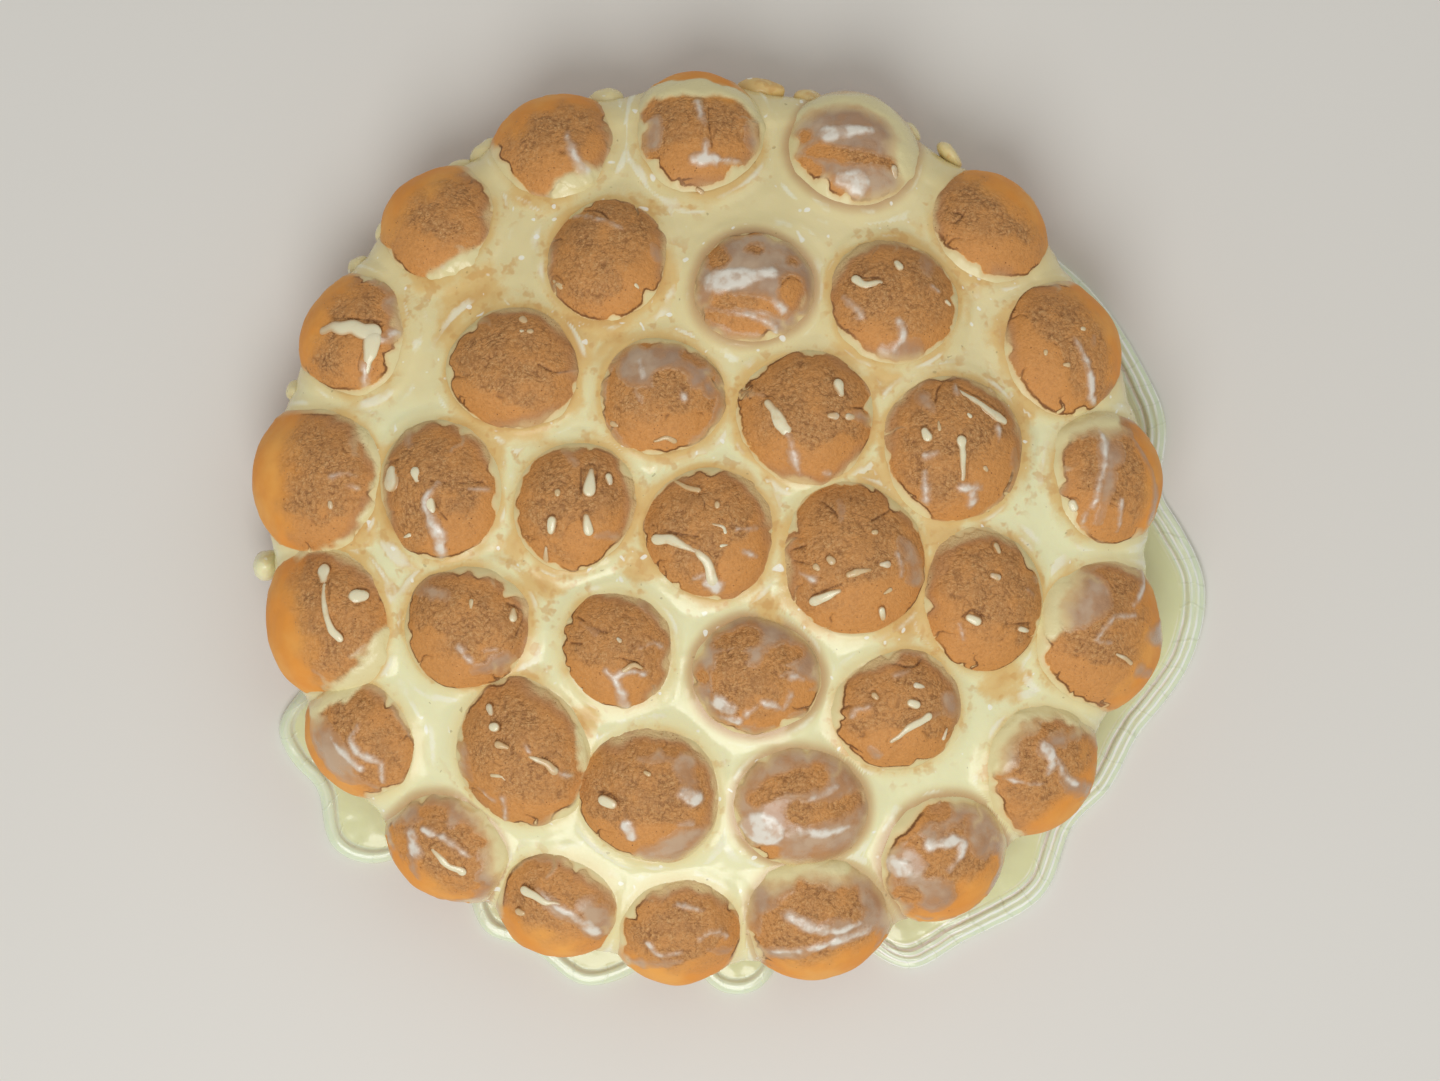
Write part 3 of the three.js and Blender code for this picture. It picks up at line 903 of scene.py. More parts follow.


# What lies on each crown, in mm from its middle. milk: how far a thin film creeps in from the cream.
# veil: how grey it is. films, bare, smears and cream: width and path of film, dry crust, whiter film
# with painted glints, and cream. cracks: paths. crustOut: how far out the crust of a bun at the edge reaches.
bunLooks = {
    "A1": {"milk": 0.1, "veil": 0.5, "films": [(5, [(7, -7), (11, -11), (15, -13)])],
           "smearsAndGlints": [(3.6, [(5, -1), (7, -7), (10, -12)])],
           "cream": [(5, [(1, -16), (6, -14), (11, -13), (16, -10)])]},
    "A2": {"milk": 0.15, "veil": 0.7, "films": [(7, [(-12, -1), (-12, -6)]), (4, [(14, -1), (15, -6)])],
           "smearsAndGlints": [(3, [(0, 4), (1, 0), (2, -3)]), (3, [(2, -8), (2, -11), (-1, -12)]),
                      (3, [(-1, -12), (5, -12), (11, -11)])],
           "cream": [(7, [(-19, 8), (-14, 11), (-5, 10), (7, 10), (14, 7), (18, 1)])],
           "cracks": [[(3, 4), (3, -2), (4, -9)]]},
    "A3": {"milk": 1, "veil": 0.76,
           "bare": [(3, [(-12, -4), (-5, -6), (5, -7), (11, -8)]), (2.4, [(-14, 2), (-14, 0)]),
                    (5, [(-8, -15), (-2, -15)]), (5, [(-15, -7), (-13, -10)])],
           "smearsAndGlints": [(5.5, [(-5, -12), (0, -13)]), (5, [(-8, 0), (3, 1)])],
           "cream": [(6.5, [(-18, 7), (-11, 12), (-3, 13), (5, 12), (11, 8), (15, 1), (14, -6)])]},
    "A4": {"milk": 0.04, "veil": 0.3, "cracks": [[(-12, 1), (-10, 0), (-12, -2)]]},
    "B1": {"milk": 0.08, "veil": 0.7, "films": [(6.4, [(3, -16), (12, -13)]), (2.6, [(9, -10), (9, -12)])],
           "smearsAndGlints": [(4, [(4, -15), (6, -15)]), (2.6, [(11, -13), (14, -11)])],
           "cream": [(5, [(0, -17), (6, -16), (13, -12)])]},
    "B2": {"milk": 0.05, "veil": 0.7,
           "films": [(4.4, [(-17, 14), (-17, 8), (-15, -1)]), (2.6, [(12, 3), (14, -1)])],
           "smearsAndGlints": [(1.5, [(-9, 12), (-2, 9.5), (4, 6.5)])], "cracks": [[(-9, 14), (-2, 12), (1, 9)]]},
    "B3": {"milk": 1, "veil": 0.84,
           "bare": [(3.2, [(-9, -5), (1, -6), (8, -8)]), (3.2, [(-12, -8), (-4, -11), (2, -11)]),
                    (6, [(10, -1), (10, -4)]), (4.4, [(-10, 9), (-9, 6)]), (2.8, [(-4, 15), (5, 16)]),
                    (2.2, [(-1, 9), (1, 9)]), (1.7, [(12, 12), (13, 10)]), (1.6, [(10, 6), (11, 6)])],
           "smearsAndGlints": [(2.1, [(-6, -8), (-1, -9), (5, -11), (6, -13)]), (6.5, [(-9, 0), (5, 2)]),
                      (2.6, [(5, -5), (8, -7)])]},
    "B4": {"milk": 0.08, "veil": 0.5, "films": [(4.6, [(9, 11), (8, 7)]), (7, [(-3, -14), (4, -14)])],
           "smearsAndGlints": [(1.6, [(9, 3), (11, 2)]), (2.3, [(-14, 0), (-12, -2), (-10, -5)]),
                      (2.6, [(0, -7), (1, -10), (-1, -14)])], "cracks": [[(-11, 6), (-9, 5), (-5, 5)]]},
    "B5": {"milk": 0.05, "veil": 0.5, "films": [(2.6, [(5, 1), (5, -1)])],
           "smearsAndGlints": [(2.6, [(-1, 0), (2, -5), (4, -9), (5, -14)]), (2.2, [(5, -14), (8, -16)])],
           "cracks": [[(-19, -2), (-16, -2)], [(-15, -11), (-12, -12)]]},
    "C1": {"milk": 0.15, "veil": 0.6,
           "films": [(6.6, [(13, 8), (17, 3), (18, -3), (14, -11)]), (3, [(12, -2), (14, -1)])],
           "smearsAndGlints": [(2.4, [(7, -10), (6, -14), (5, -18)]), (2.6, [(9, -2), (12, -3), (14, -1)])],
           "cracks": [[(-5, 3.5), (4, 2.5), (11, 2)]]},
    "C2": {"milk": 0, "veil": 0.3, "smearsAndGlints": [(1.2, [(13, -2), (17, -1)])],
           "cracks": [[(8, 0), (12, -2), (16, -1)]]},
    "C3": {"milk": 0.2, "veil": 0.9, "films": [(14, [(-5, 8), (0, 10), (10, 6)]), (5, [(12, 3), (13, 1)])],
           "bare": [(2.5, [(-4, 14), (-1, 15)]), (2.9, [(8, 11), (11, 9)]), (6, [(1, 4), (5, 3)])],
           "smearsAndGlints": [(2.6, [(-5, 9), (-4, 4)]), (1.8, [(6, 1), (7, -1)]), (1.3, [(-6, 1), (-4, -2)])]},
    "C4": {"milk": 0.06, "veil": 0.5, "films": [(3.5, [(11, 0), (17, -1)]), (2.3, [(-17, 6), (-12, 5)])],
           "smearsAndGlints": [(1.4, [(-6, -4), (-4, -9)]), (2.8, [(-4, -10), (-2, -15)]),
                      (1.5, [(4, -15), (6, -15)])],
           "cracks": [[(-16, 11), (-14, 8), (-11, 5)], [(10, 2), (18, 2)]]},
    "C5": {"milk": 0.12, "veil": 0.5, "films": [(3.5, [(-9, 13), (-7, 9)]), (4, [(16, -1), (17, -8)])],
           "smearsAndGlints": [(1.7, [(-9, -3), (-6, -2)]), (2.6, [(-9, -7), (-8, -14)]),
                      (2.8, [(1, -11), (6, -11)]), (3.2, [(4, -12), (4, -15)]), (1.7, [(11, 5), (11, 1)]),
                      (1.4, [(0, 16), (0, 14)])],
           "cracks": [[(3, 19), (-4, 16), (-6, 11)], [(-10, -6), (-11, -10)]]},
    "C6": {"milk": 0.15, "veil": 0.6,
           "films": [(3.3, [(4, 11), (10, 1), (13, -11)]), (8, [(-10, 14), (-3, 14), (4, 12)]),
                     (7.5, [(-4, 13), (-3.5, 6)]), (5, [(-3.5, 6), (-5.5, -6), (-6, -11)])],
           "smearsAndGlints": [(2.7, [(-5, 13), (-5, 6), (-7, -1)]), (2.2, [(-7, -1), (-8, -8)]),
                      (1.3, [(-9, -9), (-10, -12)]), (1.6, [(-1, -6), (0, -14)])],
           "cream": [(5, [(-16, 10), (-9, 15), (0, 17)])]},
    "D1": {"milk": 0.02, "veil": 0.4, "crustOut": 4.5, "films": [(2.6, [(14, 10), (15, 6)])],
           "smearsAndGlints": [(1, [(10, 0), (13, 1), (16, 0)]), (1.3, [(14, -2), (16, -3)])],
           "cream": [(5.4, [(18, 14), (22, 4), (21, -6), (16, -15)]),
                     (4.6, [(16, -15), (8, -20), (0, -22), (-9, -22)])]},
    "D2": {"milk": 0.06, "veil": 0.5, "films": [(2.8, [(-10, 18), (-7, 12)])],
           "smearsAndGlints": [(3, [(2, 1.3), (-1.5, -3), (0, -8)]), (4.4, [(0, -8), (1.5, -12), (1, -18)]),
                      (1.5, [(10, 0), (14, 0)])],
           "cracks": [[(0, 2), (7, 1.5), (13, 2)], [(-17, 7), (-10, 8)], [(1, -4), (4, -8)]]},
    "D3": {"milk": 0.05, "veil": 0.5, "films": [(3.4, [(-2, 14), (1, 11)]), (3.4, [(7, -8), (11, -8)])],
           "cracks": [[(2.5, 10), (2.5, 3)], [(7, 10), (6, 3)]]},
    "D4": {"milk": 0.06, "veil": 0.5,
           "smearsAndGlints": [(4.4, [(0, -13), (2, -14)]), (1.7, [(-4, -12), (-1, -11)]), (1.4, [(7, 1), (12, 1)]),
                      (1.4, [(9, -5), (12, -6)])],
           "cracks": [[(-2, 12), (-1, 6)], [(-15, 2), (-9, 0), (-3, -1)]]},
    "D5": {"milk": 0.05, "veil": 0.5,
           "films": [(2.8, [(-4, 15), (-4, 10)]), (6, [(12, 5), (15, 1), (16, -4)])],
           "smearsAndGlints": [(1.5, [(11, 2), (12, -1), (12, -4)]), (1.9, [(-14, -3), (-11, -5)])],
           "cracks": [[(-1, 17), (-1, 12), (2, 8)], [(3, 10), (9, 13)], [(-9, 16), (-5, 12), (-6, 9)],
                      [(-16, 3), (-13, 4)], [(-16, 0), (-12, -1)], [(-11, -9), (-4, -6)]]},
    "D6": {"milk": 0.04, "veil": 0.4, "films": [(2.4, [(17, 14), (12, 11)]), (3, [(17, 4), (18, -5)])],
           "smearsAndGlints": [(1.1, [(-8, -6), (-7, -10)]), (1, [(10, 3), (13, 1)]), (1.2, [(13, 6), (14, 5)])],
           "cracks": [[(-8, -4), (-5, -2), (-2, -4)], [(4, -6), (12, -6)]]},
    "D7": {"milk": 0.15, "veil": 0.55,
           "films": [(13, [(-14, 14), (-8, 11), (-13, 6)]), (7, [(12, 0), (18, 0)]),
                     (4, [(8, -9), (14, -11)])],
           "smearsAndGlints": [(2.7, [(13, 17), (9, 12), (5, 9)]), (1.5, [(-2, 6), (5, 6)]),
                      (1.5, [(-2, 6), (-7, 0)]), (1.4, [(-7, 0), (-3, -1)])],
           "cream": [(7, [(-14, 18), (-18, 11), (-18, 2)])]},
    "E1": {"milk": 0.04, "veil": 0.5, "crustOut": 4, "films": [(2.8, [(11, -8), (15, -6)])],
           "cream": [(8.5, [(4, -19), (10, -16.5), (16, -12), (21, -5)]),
                     (4.4, [(-8, 20), (3, 22), (13, 18)])]},
    "E2": {"milk": 0.08, "veil": 0.4,
           "films": [(5.4, [(-11, 10), (-5, 9)]), (5.6, [(3, -11), (7, -10), (11, -8)])],
           "smearsAndGlints": [(2.3, [(0, -5), (1, -7), (3, -9)]), (1.1, [(6, -6), (9, -5)])],
           "cracks": [[(12, 7), (16, 4), (14, -2)]]},
    "E3": {"milk": 0.05, "veil": 0.5, "films": [(1.9, [(-9, 7), (-5, 5)]), (3.4, [(7, 13), (11, 8)])],
           "smearsAndGlints": [(3.6, [(-2, -5), (0.5, -8), (2, -13), (2, -18)]),
                      (2.6, [(0, -6.5), (4, -5), (7.5, -6)]), (1.2, [(7, 1), (10, 2), (12, 1)])],
           "cracks": [[(-10, 9), (-5, 6), (-2, 5)], [(-12, 2), (-9, 2)], [(-2, 0), (3, -2), (6, -3)]]},
    "E4": {"milk": 0.6, "veil": 0.75, "films": [(5.3, [(-1, 6), (0, 10)])],
           "bare": [(4.4, [(-10, 9), (-2, 11)]), (5.4, [(5, 6), (10, 7)]), (3, [(-14, 1), (-14, 0)]),
                    (4.4, [(-9, -1), (2, -2), (8, -1)]), (2.4, [(-5, 6), (-4, 6)]),
                    (5.4, [(10, -5), (14, -6)]), (3, [(1, -10), (8, -12)]), (2.5, [(-9, -14), (-4, -15)]),
                    (3, [(-3, -5), (-5, -8)])],
           "smearsAndGlints": [(4.6, [(-10, -6), (-7, -8)]), (2.4, [(-9, -10), (-5, -11)]),
                      (2.6, [(2, -6), (7, -8)]), (2, [(7, -8), (9, -4)]), (2.2, [(9, 1), (12, 0)]),
                      (1.2, [(6, 1), (9, 2)]), (1.5, [(-3, -9), (0, -7)])]},
    "E5": {"milk": 0.1, "veil": 0.5,
           "films": [(5.6, [(12, 4), (14, 1)]), (2.4, [(7, -1), (10, 0)]), (2.8, [(-8, -9), (-6, -11)])],
           "smearsAndGlints": [(1.4, [(-13, -1), (-12, 1), (-9, 2)]), (1.5, [(-2, 10), (2, 11)])],
           "cracks": [[(-2, 13), (3, 12), (6, 14)]]},
    "E6": {"milk": 0.2, "veil": 0.6,
           "films": [(5, [(-3, 8), (0, 10), (8, 11)]), (5.6, [(1, 4), (4, -1), (12, -5)]),
                     (8, [(-14, 4), (-12, 11), (-6, 14)])],
           "smearsAndGlints": [(4, [(-3, 9), (-1, 5), (-2, 2)]), (2.6, [(0, 6), (3, 1), (7, -2)]),
                      (1.5, [(-12, 0), (-7, -1), (-3, -1)])],
           "cream": [(6, [(-18, 2), (-16, 11), (-8, 17), (2, 18), (9, 14)])]},
    "F1": {"milk": 0.12, "veil": 0.4,
           "films": [(11, [(-11, 12), (-9, 3), (-2, -6)]), (3.4, [(-2, -6), (6, -12)])],
           "bare": [(3.6, [(-8, 10), (-3, 10)]), (2.8, [(3, -7), (5, -8)])],
           "smearsAndGlints": [(2.7, [(3, 6), (1, 2), (4, -2), (8, -4)]), (2.2, [(9, -5), (8, -10)]),
                      (2.3, [(-5, 2), (-1, -2), (3, -6)])],
           "cream": [(7, [(-13, 8), (-8, 13), (-2, 16.5)])]},
    "F2": {"milk": 0.1, "veil": 0.3,
           "films": [(5.8, [(-16, 2), (-16, -3), (-13, -7)]), (3, [(2, -20), (10, -17)])],
           "smearsAndGlints": [(1.5, [(3, 4), (4, 2)]), (1.7, [(10, -3), (14, -5)]),
                      (2, [(-4, -11), (-4, -15), (-6, -21)]), (1.2, [(-11, -9), (-7, -12)])],
           "cream": [(6, [(18, 6), (19.5, -3), (17.5, -11), (12, -18)])],
           "cracks": [[(-4, 6), (2, 5), (6, 2), (10, -2)]]},
    "F3": {"milk": 0.12, "veil": 0.25,
           "films": [(4.4, [(-2, 12), (5, 13)]), (7, [(9, 10), (11, 3)]),
                     (11, [(-7, -20), (3, -15), (13, -11)])],
           "bare": [(5.4, [(-4, 15), (-1, 15)]), (3.4, [(4, 15), (6, 14)])],
           "smearsAndGlints": [(4.6, [(9, 3), (12, 1)]), (5, [(-6, -6), (-5, -9)]), (2.4, [(8, -6), (11, -6)])],
           "cracks": [[(-14, 2), (-11, 2.5), (-8, 0)]]},
    "F4": {"milk": 0.9, "veil": 0.3,
           "bare": [(5.4, [(-12, 4), (-6, 8), (4, 10)]), (5.2, [(-1, 1), (8, 1), (15, 3)]),
                    (5, [(-11, -13), (-8, -11)])],
           "smearsAndGlints": [(8, [(-11, -4), (-8, -5)]), (2.4, [(0, 4), (4, 5), (9, 7)]),
                      (3, [(0, -4), (6, -5), (12, -4)])], "cream": [(3.2, [(-6, -18), (3, -19)])]},
    "F5": {"milk": 0.5, "veil": 0.6,
           "films": [(11, [(-11, 4), (-8, -4), (-4, -7)]), (8, [(7, 11), (9, 6)])],
           "bare": [(5.6, [(-16, 8), (-10, 14), (-1, 16)]), (4, [(-6, 0), (-3, 6), (-1, 3)]),
                    (5, [(-11, -7), (-10, -8)]), (7, [(4, -5), (12, -1)])],
           "smearsAndGlints": [(5.6, [(-14, 1), (-13, 1)]), (3.2, [(-6, 8), (2, 9), (2, 5), (-1, 1)])]},
    "G1": {"milk": 0.55, "veil": 0.5, "films": [(4, [(-7, 6), (-7.5, 0), (-7, -7)])],
           "bare": [(3.5, [(-4, 12), (1, 12)]), (4, [(7, 7), (12, 4)]), (2.6, [(-1, 8), (4, 3), (10, -2)]),
                    (4.6, [(-2, -1), (4, -6), (9, -8)]), (3.5, [(-14, 5), (-10, 2)])],
           "smearsAndGlints": [(2.7, [(-3, 8), (3, 6), (9, 1)]), (5, [(-7, 6), (-6, 2)])],
           "cream": [(4, [(12, 14), (16.5, 5), (16, -4)])]},
    "G2": {"milk": 0.12, "veil": 0.5, "films": [(9, [(9, 4), (13, -3)]), (5, [(-1, 5), (6, 0), (11, -7)])],
           "smearsAndGlints": [(3, [(-4, 8), (0, 5), (5, 2), (9, -2), (11, -5)])]},
    "G3": {"milk": 0.08, "veil": 0.5,
           "films": [(4, [(-14, -8), (-4, -5), (1, -4)]), (2.8, [(8, -1), (13, -3)])],
           "smearsAndGlints": [(2, [(-8, 1), (-5, -2), (1, -1)]), (2.2, [(6, 2), (8, 4), (11, 4)]),
                      (1.4, [(0, 12), (7, 10)]), (1.8, [(6, 3), (10, 4), (13, 2)])]},
    "G4": {"milk": 0.4, "veil": 0.5,
           "films": [(7, [(9, 5), (15, 2)]), (6, [(3, -1), (10, 0)]),
                     (6.4, [(-10, 6), (-3, 3.5), (4, 2), (10, 3)]), (5, [(-13, -7), (-4, -5)])],
           "bare": [(6.3, [(-6, 9), (5, 10)]), (2.8, [(8, 6), (9, 5)]), (4.2, [(-15, -4), (-10, 2)]),
                    (3.2, [(-8, -1), (0, 1)])],
           "smearsAndGlints": [(3.3, [(-12, -6), (-1, -3), (6, -1), (12, 0)]),
                      (4, [(-9, 6), (-3, 3), (4, 1.5), (10, 3)])],
           "cream": [(3.6, [(-14, 15), (-4, 18), (6, 17)])]},
}


def ringNoise(angle, steps, seed):
    return smoothNoise(polar(steps / (2 * math.pi), angle, 0.0) + 40.0, 1.0, seed)


def notches(angle, count, seed):
    # depth in mm of the cuts round a crust's edge, uneven in place, width and depth
    draws, cut = drawsFrom(seed), np.zeros_like(angle)
    for _ in range(count):
        at, width = 2 * math.pi * next(draws), 0.07 + 0.16 * next(draws)
        depth = width * (3 + 7 * next(draws))
        away = np.abs((angle - at + math.pi) % (2 * math.pi) - math.pi)
        cut = np.maximum(cut, depth * smoothStep(width, 0.0, away))
    return cut


def edgeCracks(number, count, half, flat, radius):
    # gaps to short cracks that run in from the crust's edge, for the crack, its cream and the crust's bite
    draws = drawsFrom(900 + number)
    crackGap, riverGap, bite = (np.full(len(flat), far) for far in (9.0, 9.0, 50.0))
    reach = 0.8 * half + 0.8
    share = np.linspace(0, 1, 8)
    for _ in range(count):
        bearing, length = 2 * math.pi * next(draws), 2.0 + 6.5 * next(draws)
        turn = bearing + (next(draws) - 0.5) * 0.7 * share ** 2 + 0.06 * np.sin(9 * share)
        gap = distanceToPath(flat, polar(reach - length * share, turn))
        inner = smoothStep(reach, reach - length, radius)
        crackGap = np.minimum(crackGap, gap + 0.4 * inner)
        riverGap = np.minimum(riverGap, gap + 0.9 * inner)
        bite = np.minimum(bite, gap * 1.5 + 0.3 * (reach - radius) - 0.7)
    return crackGap, riverGap, bite


def drizzleShadowLines(name, flat):
    # gap to the painted shadow line that a wide stroke casts on the crust, a little to its back
    best, shifted = np.full(len(flat), 9.0), flat - np.array([0, drizzleShape["lineShift"]])
    for place, width, path in drizzleStrokes + drizzleDrops:
        if place == name and width > drizzleShape["lineFrom"]:
            line = roundedPath(path)
            gap = np.abs(distanceToPath(shifted, line) - width / 2)
            best = np.minimum(best, 0.25 + gap + 2 * (distanceToPath(flat, line) < width / 2 - 0.2))
    return best


def insideStrokes(points, flat, strokes, wander, size, seed):
    # mm inside the nearest of some strokes, whose edges wander
    best = np.full(len(points), -6.0)
    for i, (width, path) in enumerate(strokes):
        line = roundedPath(path)
        best = np.maximum(best, -distanceToPath(flat, line, strokeWidths(line, width, seed + i)))
    return best + wander * layeredNoise(points, size, seed)


def creepingFilm(milk, angle, inward, patches, veiled, riverGap):
    # mm inside the film, which creeps in farthest from the back and along the cracks
    back = 0.5 + 0.5 * np.sin(angle + 0.5)
    patchy = patches * (0.3 + 2.6 * min(1.0, milk * 2))
    film = milk * bunShape["filmReach"] * (0.4 + 0.6 * back) - inward + patchy - 0.3
    if milk > 0.85:
        film = np.maximum(film, 6 - np.abs(patches))
    return np.maximum(film, 1.8 * veiled + 0.5 * patches - 0.7 - riverGap)


def sandyCrust(number, half, x, y, points, seed):
    # sandy crust ends towards the front, here softly and there along a torn edge; its darker colour is also
    # painted shade towards the back of each bun
    lean = bunShape["sandyLean"] * float(hashCells(np.array([number, 2, 1]), 4))
    plate = bunShape["sandyReach"] * half + y * math.cos(lean) + x * math.sin(lean)
    plate = plate + bunShape["sandyWander"] * layeredNoise(points, 9.0, seed + 11)
    soft = smoothStep(-0.3, 0.5, smoothNoise(points, 9.0, seed + 12))
    uneven = 0.8 + 0.45 * layeredNoise(points, 4.0, seed + 10)
    sandy = smoothStep(-0.6 - 5 * soft, 1.6 + 4 * soft, plate) * uneven
    whole = smoothStep(0.1, -0.3, smoothNoise(points, 4.0, seed + 18))
    return sandy, np.abs(plate - 0.2) * 0.7 + 0.25 + 3 * soft + 1.2 * whole, soft


def dressBun(number, name, points, normals):
    # works out crust, cracks and film over one bun, and raises its skin to match
    bun, look = buns[name], bunLooks[name]
    seed = 100 + 17 * number
    x, y, z = localPlaces(bun, points).T
    flat = np.column_stack([x, y])
    half = (bun["halfX"] + bun["halfY"]) / 2
    angle = np.arctan2(y / bun["halfY"], x / bun["halfX"])
    wobble = lobes(bun, angle)
    radius = np.hypot(x, y) * half / np.hypot(np.cos(angle) * bun["halfX"], np.sin(angle) * bun["halfY"])
    _, past, height = domeCoordinates(points)
    above = height - creamLevel(points[:, 0], points[:, 1], past)
    creamZ = z - above
    level = np.clip(creamZ / bun["crown"], 0, 1)
    inward = half * wobble * (1 - level ** bunShape["crownPower"]) ** (1 / bunShape["crownPower"]) - radius
    outer = smoothStep(6.0, -1.0, creamZ)     # 1 where a bun faces outwards, clear of the cream
    outer = np.maximum(outer, smoothStep(2.2, 4.0, above) * smoothStep(0.78, 0.9, radius / half))
    # thin cream veils the crust's edge in some stretches, mostly on the right, and leaves it crisp in others,
    # where a painted shadow line runs along it
    veiled = smoothStep(-0.3, 0.6, 0.45 * np.cos(angle - 0.6) + 0.95 * ringNoise(angle, 6, seed + 6))

    # crust's edge, torn by scallops, notches and cracks
    crumbly = 0.4 + 0.9 * smoothStep(-0.3, 0.5, ringNoise(angle, 5, seed + 2))
    lobed, scalloped, crumbed = (
        bunShape[key] * ringNoise(angle, steps, seed + shift)
        for key, steps, shift in (("lobes", 8, 0), ("scallops", 20, 1), ("crumbs", 50, 3)))
    bent = angle + 0.07 * layeredNoise(points, 3.0, seed + 4)
    cuts = notches(bent, bunShape["notches"] + number % 4, 700 + number)
    ragged = lobed + crumbly * (scalloped + crumbed) - cuts
    crustEdge = bunShape["crustShare"] * half * wobble + outer * 1.5 - radius
    crustEdge = np.minimum(crustEdge, np.where(outer > 0.5, 50.0, inward - 0.5)) + ragged
    crustEdge = np.where(z > 0, crustEdge, -8.0)
    crackGap, riverGap, bite = edgeCracks(number, bunShape["edgeCracks"], half, flat, radius)
    crustEdge = np.minimum(crustEdge, bite)
    for path in look.get("cracks", []):
        crackGap = np.minimum(crackGap, distanceToPath(flat, roundedPath(path)) + 0.12)
    # painted shadow lines behind the wide drizzle
    crackGap = np.minimum(crackGap, drizzleShadowLines(name, flat))

    def covered(kind, wander, size, offset):
        inside = insideStrokes(points, flat, look.get(kind, []), wander, size, seed + offset)
        return np.where(z > 0, inside, -5.0)

    # film that creeps in from the cream, then what was read off the photo
    patches = layeredNoise(points, 6.0, seed + 3)
    film = creepingFilm(look["milk"], angle, inward, patches, veiled, riverGap) - 12 * outer
    film = np.maximum(film, covered("films", 0.7, 3.0, 5))
    film = np.minimum(film, -covered("bare", 0.5, 1.8, 8) * 1.3)
    # smears: whiter thick film, with painted glints
    thick, creamy = covered("smearsAndGlints", 0.45, 1.7, 21), covered("cream", 0.8, 3.5, 31)
    rim = np.where((outer > 0.3) | (above > 3.5), -5.0, -crustEdge)
    for layer in (thick + 0.3, creamy + 0.3, rim * 0.9 - 0.25):
        film = np.maximum(film, layer)
    film = np.where(z > 0, film, -4)

    # the outer buns are bare and golden on the outside
    bearing = math.atan2(bun["middle"][1], bun["middle"][0])
    outward = x * math.cos(bearing) + y * math.sin(bearing)
    crustOut = look.get("crustOut", bunShape["crustOut"] * half)
    onRim = np.hypot(*bun["middle"][:2]) > bunShape["rimBuns"]
    past = outward - crustOut + 3.0 * layeredNoise(points, 5.0, seed + 9)
    golden = onRim * smoothStep(*bunShape["goldenFade"], past)
    mist = veiled * smoothStep(4.6, -0.2, inward + 1.3 * patches) * (1 - outer) * (1 - golden)

    sandy, torn, soft = sandyCrust(number, half, x, y, points, seed)
    inland = smoothStep(0.5, 5.5, crustEdge + 1.5 * patches)
    sandy = np.clip(sandy, 0.08, 1) * (1 - golden) * (0.35 + 0.65 * inland)
    crackGap = np.minimum(crackGap, np.where(golden < 0.3, torn, 9))
    crackGap = crackGap + np.maximum(0, 0.5 * smoothNoise(points, 2.6, seed + 19)) + 1.5 * golden
    dry = smoothStep(0.3, -0.3, film) * smoothStep(-0.2, 0.5, crustEdge) * (1 - golden)

    sand = smoothNoise(points, 1.25, seed + 13) + 0.7 * smoothNoise(points, 0.8, seed + 14)
    relief = (bunShape["lump"] * layeredNoise(points, bunShape["lumpSize"], seed + 15)
              + bunShape["crustLift"] * smoothStep(-0.45, 0.45, crustEdge) * (1 - golden) * (1 - 0.8 * soft)
              + bunShape["grain"] * sand * dry * sandy
              - bunShape["crack"] * smoothStep(0.75, 0.1, crackGap) * dry
              + bunShape["filmLift"] * smoothStep(-0.3, 0.6, film)
              + bunShape["thickLift"] * smoothStep(0, 1.3, thick)
              + bunShape["creamLift"] * smoothStep(-0.8, 1.8, creamy)) * smoothStep(-6, 2, z)
    attributes = {
        "crustEdge": np.clip(crustEdge, -3, 3),
        "crackGap": np.clip(crackGap, 0, 3),
        "film": np.clip(film, -3, 4),
        "thick": np.clip(thick, -2, 3),
        "creamy": np.clip(creamy, -5, 2),
        "mist": mist,
        # where the painted shadow line along the crust's edge shows
        "crisp": (1 - soft) * (1 - outer) * (1 - golden),
        "veil": np.clip(look["veil"] + 0.3 * patches, 0, 1),
        "golden": golden,
        "aboveCream": np.clip(above + 4 * outer, -2, 6),
        "lowSide": smoothStep(8.0, -6.0, z) + smoothStep(14, 1, points[:, 2]),
        "sandy": sandy,
        "dry": dry * (above > 0.8),
    }
    return points + normals * relief[:, None], attributes


def makeBunRows():
    ball, tree, number = makeUnitBall(), makeBunTree(), 0
    each = len(ball.data.vertices)
    for row in bunRows:
        names = [name for name in buns if name[0] == row]
        inRow = [buns[name] for name in names]
        middles, axes = (np.array([bun[key] for bun in inRow]) for key in ("middle", "axes"))
        piece = meshObject("bunRow" + row, middles, [], {
            "middle": middles * mm, "axisX": axes[:, 0], "axisY": axes[:, 1], "axisZ": axes[:, 2],
            "halves": np.array([[bun["halfX"], bun["halfY"], bun["crown"]] for bun in inRow]) * mm,
            "phases": np.array([bun["phases"] + (0.0,) for bun in inRow]),
        })
        applyTree(piece, tree, {
            "Unit Ball": ball, "Crown Power": bunShape["crownPower"], "Foot Power": bunShape["footPower"],
            "Foot Depth": bunShape["footDepth"] * mm, "Foot Lift": bunShape["footLift"] * mm,
            "Two Lobed": bunShape["twoLobed"], "Three Lobed": bunShape["threeLobed"], "Crust": crustMaterial})
        mesh = piece.data
        points, normals = meshPoints(mesh), meshNormals(mesh)
        dressed = []
        for i, name in enumerate(names):
            part = slice(i * each, (i + 1) * each)
            dressed.append(dressBun(number + i, name, points[part], normals[part]))
        number += len(names)
        for key in ("unit", "middle", "axisX", "axisY", "axisZ", "halves", "phases"):
            if mesh.attributes.get(key):
                mesh.attributes.remove(mesh.attributes[key])
        putPoints(mesh, np.vstack([moved for moved, _ in dressed]))
        setAttributes(mesh, joined([attributes for _, attributes in dressed]))
        finishPiece(piece, crustMaterial, "crust", "bread")
        print("row", row, len(names), "buns")
    bpy.data.objects.remove(ball)


# Dough under the grooves

